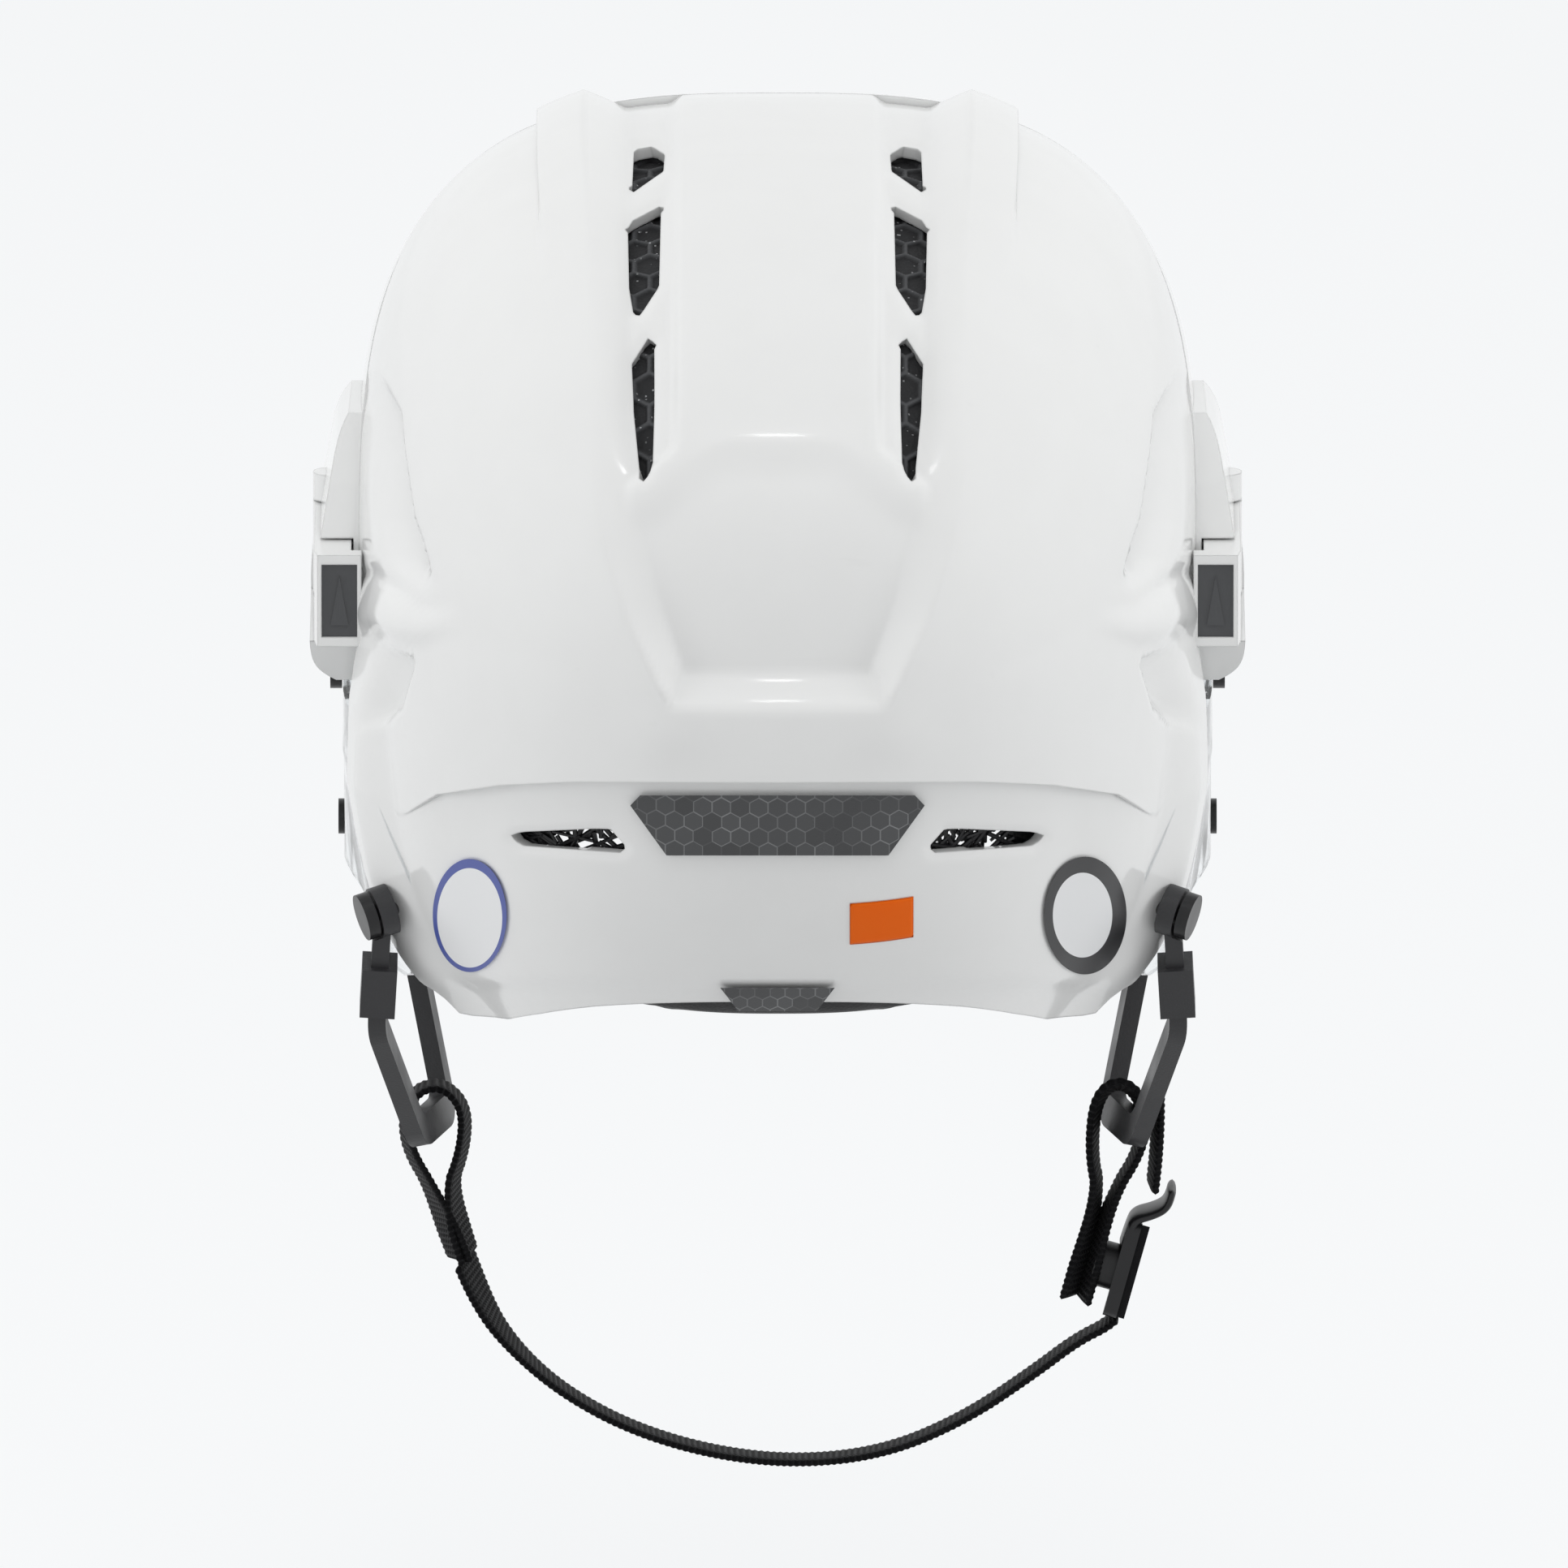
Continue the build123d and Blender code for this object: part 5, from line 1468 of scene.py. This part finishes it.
    def front_liners(self) -> None:
        """Flat pads at the temples, between the face opening's edge and the rear half's pads.

        The lower edge depends on y and the back edge on z, so both are found by turns.
        """
        dome = self.kit.dome
        down, over = self.shares(*self.temple_size)
        y = self.between(self.temple_y, over) + 0.0 * down
        for _ in range(self.temple_rounds):
            z = self.between((dome.face(y) + self.temple_clear, self.temple_top), down)
            back = np.interp(z, dome.seam_z, dome.seam_y) - self.temple_gap
            y = self.between((back, self.temple_front), over)
        below = self.depth - self.channels(z, self.temple_rows)
        for side in Side:
            faces = (dome.side_point(y, z, rise, side) for rise in (self.temple_seat, -below))
            self.finish("front front_liner_" + side.label, *faces)

    def build(self) -> None:
        """Builds all the pads."""
        self.rear_liners()
        self.occipital()
        self.crowns()
        self.brow()
        self.front_liners()


@dataclass
class VentNets:
    """Foam skin with a raised honeycomb under the upper vents, and open lattices behind the slots."""

    kit: Kit
    net_x: Pair = (0.0245, 0.0420)
    net_pitch: Pair = (4.0, 71.0)
    net_shape: tuple[int, int] = (357, 42)
    net_radius: float = 0.135
    net_sink: Pair = (0.0072, 0.0082)
    cell: float = 0.0086
    wall_edge: Pair = (0.00036, 0.00096)
    wall_rise: float = 0.0009
    slot_x: Pair = (0.0365, 0.0725)
    slot_pitch: Pair = (102.9, 112.0)
    slot_radius: float = 0.14
    middle_x: Pair = (0.039, 0.070)
    middle_pitch: Pair = (103.7, 110.9)
    half_length: Pair = (0.004, 0.0075)
    drop: Pair = (0.0009, 0.0024)
    rim_drop: float = 0.0016
    strut: float = 0.00055
    strut_spread: Pair = (0.75, 1.25)
    strut_sides: int = 6
    struts: int = 64
    rim_steps: tuple[int, int] = (8, 4)
    seed: int = 7

    def honeycomb(self, side: Side) -> None:
        """One strip of foam skin under a row of vents.

        Its height over the pad is a flat top on every honeycomb wall with sloping flanks.

        Args:
            side: which row of vents.
        """
        rows, columns = self.net_shape
        x, pitch = np.meshgrid(np.linspace(*self.net_x, columns), np.linspace(*self.net_pitch, rows))
        gap = honeycomb_gap(x, np.radians(pitch) * self.net_radius, self.cell)
        ridge = fall(gap, *self.wall_edge)
        top, bottom = self.net_sink
        outer = self.kit.dome.point(side.value * x, pitch, -top + self.wall_rise * ridge)
        inner = self.kit.dome.point(side.value * x, pitch, -bottom)
        piece = closed_pad("vent_net_" + side.label, outer, inner, 1.0, ridge)
        self.kit.place(piece, "rear", "foam_black", Finish.NET)

    def lattice(self, side: Side) -> None:
        """Random struts of black plastic across one lower slot, with a rim round them.

        Each strut is a six-sided bar between two places picked on a band of the dome.

        Args:
            side: which slot.
        """
        random = np.random.default_rng(self.seed + side.value)
        spans = (self.middle_x, self.middle_pitch, (0.0, math.pi), self.half_length, self.drop)
        middle_x, middle_pitch, turn, half, drop = (random.uniform(*span, self.struts) for span in spans)

        def sunk(x: Array, pitch: Array, depth: Array | float) -> Array:
            """Places at a depth below the inner face of the shell's wall."""
            return self.kit.dome.point(side.value * x, pitch, -(self.kit.dome.wall(x, pitch) + depth))

        ends = []
        for way in (-1.0, 1.0):
            x = np.clip(middle_x + way * half * np.cos(turn), *self.slot_x)
            pitch = middle_pitch + way * np.degrees(half * np.sin(turn) / self.slot_radius)
            ends.append(sunk(x, np.clip(pitch, *self.slot_pitch), drop))
        (left, right), (top, bottom) = self.slot_x, self.slot_pitch
        along, down = self.rim_steps
        long, short = np.linspace(0.0, 1.0, along), np.linspace(0.0, 1.0, down + 2)[1:-1]
        wide = np.concatenate((long, np.ones(down), 1.0 - long, np.zeros(down)))
        tall = np.concatenate((np.zeros(along), short, np.ones(along), 1.0 - short))
        rim = sunk(left + (right - left) * wide, top + (bottom - top) * tall, self.rim_drop)
        start, end = np.concatenate((ends[0], rim)), np.concatenate((ends[1], np.roll(rim, -1, axis=0)))
        piece = self.bars("nape_lattice_net_" + side.label, start, end, random)
        self.kit.place(piece, "rear", "trim_black", Finish.BLACK, "nape_lattice_" + side.label)

    def bars(self, name: str, start: Array, end: Array, random: np.random.Generator) -> Piece:
        """Six-sided closed bars between pairs of points, all in one mesh.

        Args:
            name: name of the piece.
            start: where each bar starts.
            end: where each bar ends.
            random: source of each bar's own size.

        Returns:
            The new piece.
        """
        count, sides = len(start), self.strut_sides
        axis = unit(end - start)
        side = unit(np.cross(axis, (0.0, 1.0, 0.0)))
        up = np.cross(axis, side)
        across, over = (values[None, :, None] for values in oval(sides, 2.0))
        size = self.strut * random.uniform(*self.strut_spread, count)[:, None, None]
        ring = size * (side[:, None, :] * across + up[:, None, :] * over)
        points = np.stack((start[:, None, :] + ring, end[:, None, :] + ring), axis=1)
        first = (np.arange(count) * 2 * sides)[:, None, None]
        base = np.arange(sides)[None, :] + first[:, 0]
        faces = (tube_quads(2, sides)[None] + first).reshape(-1, 4).tolist()
        caps = base[:, ::-1].tolist() + (base + sides).tolist()
        return build_piece(name, points, faces + caps, smooth=False)

    def build(self) -> None:
        """Builds both rows and both slots."""
        for side in Side:
            self.honeycomb(side)
            self.lattice(side)


@dataclass
class Strapwork:
    """Chin strap, its two sewn ends, the free tail and the snap's hook.

    Routes are X and Z, in metres.
    """

    kit: Kit
    width: float = 0.015
    thick: float = 0.002
    band_power: float = 5.0
    rib_pitch: float = 0.0016
    rib_share: float = 0.16
    edge_wave: float = 0.00028
    station: float = 0.0004
    least_stations: int = 8
    spline_order: int = 3
    spline_steps: int = 24
    end_run: float = 0.0006
    end_least: float = 0.001
    end_narrow: float = 0.04
    sides: int = 28
    twist: float = 8.0
    chin_twist: float = 14.0
    chin_twist_run: float = 0.12
    sewn_twist: float = 12.0
    sewn_run: Pair = (0.05, 0.25)
    strap_y: float = 0.005
    hook_wide: float = 0.0125
    hook_thick: float = 0.0031
    hook_power: float = 3.0
    hook_run: float = 0.06
    hook_least: float = 0.002
    hook_narrow: float = 0.15
    hook_thin: float = 0.25
    chin_route: Pairs = (
        (-0.07955, -0.14665), (-0.075, -0.1588), (-0.0663, -0.171), (-0.054, -0.182), (-0.037, -0.1915),
        (-0.016, -0.198), (0.006, -0.2003), (0.028, -0.1975), (0.048, -0.1885), (0.065, -0.1766),
        (0.076, -0.168), (0.0846, -0.1636), (0.0862, -0.1612),
    )
    left_route: Pairs = (
        (-0.0806, -0.147), (-0.0862, -0.131), (-0.095, -0.116), (-0.0935, -0.1035), (-0.086, -0.100),
        (-0.0795, -0.106), (-0.0795, -0.117), (-0.0841, -0.1303), (-0.0785, -0.1463),
    )
    right_route: Pairs = (
        (0.077, -0.157), (0.084, -0.1315), (0.0928, -0.117), (0.0928, -0.105), (0.087, -0.0996),
        (0.081, -0.104), (0.0796, -0.118), (0.08187, -0.1309), (0.07487, -0.1564),
    )
    tail_route: Pairs = ((0.0952, -0.1279), (0.097, -0.114), (0.0964, -0.099))
    hook_route: Pairs = (
        (0.0884, -0.1425), (0.0899, -0.1372), (0.0912, -0.1351), (0.0952, -0.1341), (0.0985, -0.1325),
        (0.0999, -0.1297), (0.1003, -0.1272),
    )

    def centre_line(self, name: str, route: Pairs) -> Array:
        """Points spread evenly along a smooth spline whose control points are the route's.

        Args:
            name: name of the temporary curve.
            route: control points as X and Z, in metres.

        Returns:
            Array of shape (points, 3).
        """
        curve = bpy.data.curves.new(name, "CURVE")
        curve.dimensions = "3D"
        spline = curve.splines.new("NURBS")
        spline.points.add(len(route) - 1)
        for point, (x, z) in zip(spline.points, route):
            point.co = (x, self.strap_y, z, 1.0)
        spline.order_u, spline.resolution_u = self.spline_order, self.spline_steps
        spline.use_endpoint_u = True
        holder = bpy.data.objects.new(name, curve)
        bpy.context.scene.collection.objects.link(holder)
        mesh = bpy.data.meshes.new_from_object(holder)
        spots = spots_of(mesh)
        bpy.data.objects.remove(holder)
        bpy.data.curves.remove(curve)
        bpy.data.meshes.remove(mesh)
        run = way_along(spots)
        even = np.linspace(0.0, run[-1], max(self.least_stations, int(run[-1] / self.station)))
        return np.stack([np.interp(even, run, spots[:, i]) for i in range(3)], axis=1)

    def webbing(self, name: str, node: str, body: str, line: Array, twist: Array | float) -> Piece:
        """A woven band along a line.

        Each section is a superellipse. Its thickness swells on every rib, its edges scallop
        half a rib later, and it is turned about the line by the twist.

        Args:
            name: name of the piece.
            node: CAD node that it stands for.
            body: body that it rides on.
            line: points along the middle of the band.
            twist: turn about the line at each point, in degrees.

        Returns:
            The new piece.
        """
        run = way_along(line)
        tangent = unit(np.gradient(line, axis=0))
        wide = np.array((0.0, math.cos(VIEW_TILT), -math.sin(VIEW_TILT)))
        wide = unit(wide - tangent * (wide * tangent).sum(axis=1, keepdims=True))
        flat = np.cross(tangent, wide)
        turn = np.radians(twist + 0.0 * run)[:, None]
        wide, flat = wide * np.cos(turn) + flat * np.sin(turn), flat * np.cos(turn) - wide * np.sin(turn)
        level, upright = oval(self.sides, self.band_power)
        phase = (2.0 * math.pi * run / self.rib_pitch)[:, None]
        swell = 1.0 + self.rib_share * np.cos(phase) * np.sign(upright)
        half = self.width / 2.0 - self.edge_wave * (1.0 + np.sin(phase))
        ends = quarter(np.minimum(run, run[-1] - run) / self.end_run)[:, None]
        closing = self.end_least + (1.0 - self.end_least) * ends
        across = half * level * (1.0 - self.end_narrow * (1.0 - closing))
        up = self.thick / 2.0 * upright * swell * closing
        uv = np.stack((across, np.broadcast_to(run[:, None], across.shape)), axis=-1)
        piece = closed_tube(name, self.swept(line, wide, across, flat, up), uv)
        self.kit.place(piece, body, "strap_black", Finish.WEBBING, node)
        return piece

    @staticmethod
    def swept(line: Array, wide: Array, across: Array, flat: Array, up: Array) -> Array:
        """Rings of points: each line point plus its two axes times the section's two places."""
        return line[:, None] + wide[:, None] * across[..., None] + flat[:, None] * up[..., None]

    def hook(self) -> None:
        """A curved bar of oval section that thins towards its end, for the snap's hook."""
        line = self.centre_line("hook_line", self.hook_route)
        share = np.linspace(0.0, 1.0, len(line))[:, None]
        wide = np.broadcast_to((0.0, 1.0, 0.0), line.shape)
        flat = np.cross(unit(np.gradient(line, axis=0)), wide)
        level, upright = oval(self.sides, self.hook_power)
        closing = self.hook_least + (1.0 - self.hook_least) * quarter((1.0 - share) / self.hook_run)
        across = self.hook_wide / 2.0 * level * (1.0 - self.hook_narrow * (1.0 - closing))
        up = self.hook_thick / 2.0 * upright * (1.0 - self.hook_thin * share) * closing
        piece = closed_tube("snap_hook_curl", self.swept(line, wide, across, flat, up))
        self.kit.place(piece, "snap", "trim_black", Finish.BLACK, "snap_hook")

    def build(self) -> None:
        """Builds the webbing pieces and the hook; bands twist more where they are sewn."""
        chin = self.centre_line("chin_line", self.chin_route)
        share = np.linspace(0.0, 1.0, len(chin))
        twist = self.twist + self.chin_twist * bell(share, self.chin_twist_run)
        piece = self.webbing("chin_webbing", "chin_strap", "rear", chin, twist)
        for side, route in ((Side.LEFT, self.left_route), (Side.RIGHT, self.right_route)):
            line = self.centre_line("end_line_" + side.label, route)
            share = np.linspace(0.0, 1.0, len(line))
            sewn = fall(np.minimum(share, 1.0 - share), *self.sewn_run)
            twist = self.twist + self.sewn_twist * sewn
            self.webbing("webbing_end_" + side.label, "strap_end_" + side.label, "rear", line, twist)
        tail = self.centre_line("tail_line", self.tail_route)
        self.webbing("webbing_tail", "strap_tail", "snap", tail, self.twist)
        self.hook()


@dataclass
class RearTrim:
    """Plain coloured label on the lower band."""

    kit: Kit
    across: Pair = (0.0189, 0.0355)
    pitches: Pair = (111.3, 116.4)
    rises: Pair = (-0.0036, -0.0038)
    shape: tuple[int, int] = (17, 25)

    def build(self) -> None:
        """Builds the label as a thin closed sheet that follows the band."""
        rows, columns = self.shape
        x, pitch = np.meshgrid(np.linspace(*self.across, columns), np.linspace(*self.pitches, rows))
        faces = (self.kit.dome.point(x, pitch, rise) for rise in self.rises)
        piece = closed_pad("label_square", *faces, 1.0)
        self.kit.place(piece, "rear", "label_white", Finish.ORANGE)


@dataclass
class Studio:
    """Pale floor, soft light and the camera at the photograph's angle.

    The aim is a sideways place, a height across the view and a depth along it, in metres. A light
    is where a direction's part starts and ends and the strengths there. A lamp is its name, its
    place, the length of its sides, its power in watts and whether glossy surfaces mirror it.
    """

    distance: float = 16.0
    field_width: float = 0.3959
    aim_x: float = 0.00164
    aim_v: float = -0.0198
    aim_w: float = -0.06
    sensor: float = 36.0
    floor_z: float = -0.30
    floor_half: float = 9.0
    clip: Pair = (0.5, 40.0)
    backdrop: Colour = (0.945, 0.958, 0.968, 1.0)
    light: Colour = (1.0, 1.0, 1.0, 1.0)
    back_light: Row = (-1.0, -0.15, 0.62, 1.05)
    top_light: Row = (0.0, 1.0, 0.715, 0.85)
    paper: Colour = (0.66, 0.665, 0.67, 1.0)
    paper_seen: Colour = (0.22, 0.222, 0.224, 1.0)
    paper_glow: float = 0.76
    lamps: tuple[tuple[str, Row, float, float, bool], ...] = (
        ("key_softbox", (0.0, -1.17, 2.21), 0.12, 0.7, True),
        ("top_softbox", (0.0, -1.3, 2.3), 0.9, 11.0, False),
        ("side_softbox_left", (-2.5, -0.55, 0.45), 1.3, 14.0, False),
        ("side_softbox_right", (2.5, -0.55, 0.45), 1.3, 14.0, False),
    )

    def camera(self) -> None:
        """Long lens behind and a little above, aimed as the photograph is."""
        level, rise = math.cos(VIEW_TILT), math.sin(VIEW_TILT)
        data = bpy.data.cameras.new("camera")
        data.sensor_width = self.sensor
        data.lens = self.sensor * self.distance / self.field_width
        data.clip_start, data.clip_end = self.clip
        depth = self.aim_w - self.distance
        place = (self.aim_x, depth * level + self.aim_v * rise, self.aim_v * level - depth * rise)
        camera = self.stand("camera", data, place)
        camera.rotation_euler = (math.pi / 2.0 - VIEW_TILT, 0.0, 0.0)
        bpy.context.scene.camera = camera

    @staticmethod
    def stand(name: str, data: bpy.types.ID, place: Row) -> Piece:
        """Puts a camera or a lamp at its place."""
        thing = bpy.data.objects.new(name, data)
        thing.location = place
        bpy.context.scene.collection.objects.link(thing)
        return thing

    def lamp(self, name: str, place: Row, size: float, power: float, shown: bool) -> None:
        """One square soft lamp aimed at the helmet.

        Args:
            name: name of the lamp.
            place: where it stands, in metres.
            size: length of its sides.
            power: its power in watts.
            shown: whether glossy surfaces mirror it.
        """
        data = bpy.data.lights.new(name, "AREA")
        data.shape, data.size, data.energy = "SQUARE", size, power
        lamp = self.stand(name, data, place)
        lamp.visible_glossy = shown
        away = unit(np.array(place))
        lamp.rotation_euler = (math.acos(away[2]), 0.0, math.atan2(away[0], -away[1]))

    @staticmethod
    def seen(wiring: Wiring) -> Socket:
        """1 for rays that show the backdrop: from the camera, off gloss and through clear plastic."""
        ray = wiring.add("LightPath").outputs
        bright = wiring.math("MAXIMUM", ray["Is Glossy Ray"], ray["Is Transmission Ray"])
        return wiring.math("MAXIMUM", ray["Is Camera Ray"], bright)

    def world(self) -> None:
        """Plain backdrop for the rays that show it, and light for the others.

        The light is weakest from the camera's side and grows towards the sides and the top.
        """
        world = bpy.data.worlds.new("studio")
        world.use_nodes = True
        wiring = Wiring(world.node_tree)
        way = wiring.split(wiring.add("TexCoord").outputs["Generated"])
        back = wiring.spread(way["Y"], *self.back_light)
        level = wiring.times(back, wiring.spread(way["Z"], *self.top_light))
        soft = wiring.add("Background", {"Color": self.light, "Strength": level})
        plain = wiring.add("Background", {"Color": self.backdrop, "Strength": 1.0})
        both = wiring.add("MixShader", {0: self.seen(wiring), 1: soft.outputs[0], 2: plain.outputs[0]})
        wiring.add("OutputWorld", {"Surface": both.outputs[0]})
        bpy.context.scene.world = world

    def floor(self) -> None:
        """Wide pale floor well below the hanging strap; it keeps a faint shadow."""
        signs = np.array(((-1.0, -1.0), (1.0, -1.0), (1.0, 1.0), (-1.0, 1.0)))
        corners = np.column_stack((self.floor_half * signs, np.full(4, self.floor_z)))
        floor = build_piece("floor", corners, [[0, 1, 2, 3]], smooth=False)
        material = bpy.data.materials.new("floor_paper")
        material.use_nodes = True
        wiring = Wiring(material.node_tree)
        paper = wiring.add("BsdfDiffuse", {"Color": self.paper})
        plain = wiring.add("Emission", {"Color": self.backdrop, "Strength": self.paper_glow})
        own = wiring.add("BsdfDiffuse", {"Color": self.paper_seen})
        shown = wiring.add("AddShader", {0: plain.outputs[0], 1: own.outputs[0]})
        both = wiring.add("MixShader", {0: self.seen(wiring), 1: paper.outputs[0], 2: shown.outputs[0]})
        wiring.add("OutputMaterial", {"Surface": both.outputs[0]})
        floor.data.materials.append(material)

    def build(self) -> None:
        """Sets up the whole studio."""
        bpy.context.scene.view_settings.view_transform = "Standard"
        self.camera()
        self.world()
        for lamp in self.lamps:
            self.lamp(*lamp)
        self.floor()


def main() -> None:
    """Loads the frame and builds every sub-assembly."""
    logging.basicConfig(level=logging.INFO, format="%(message)s")
    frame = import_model()
    kit = Kit(frame["nodes"], Finishes())
    Studio().build()
    for assembly in (Strapwork, CarriedNodes, RearShell, EarGuards, Padding, VentNets, RearTrim):
        assembly(kit).build()
    bpy.context.view_layer.update()


if __name__ == "__main__":
    main()
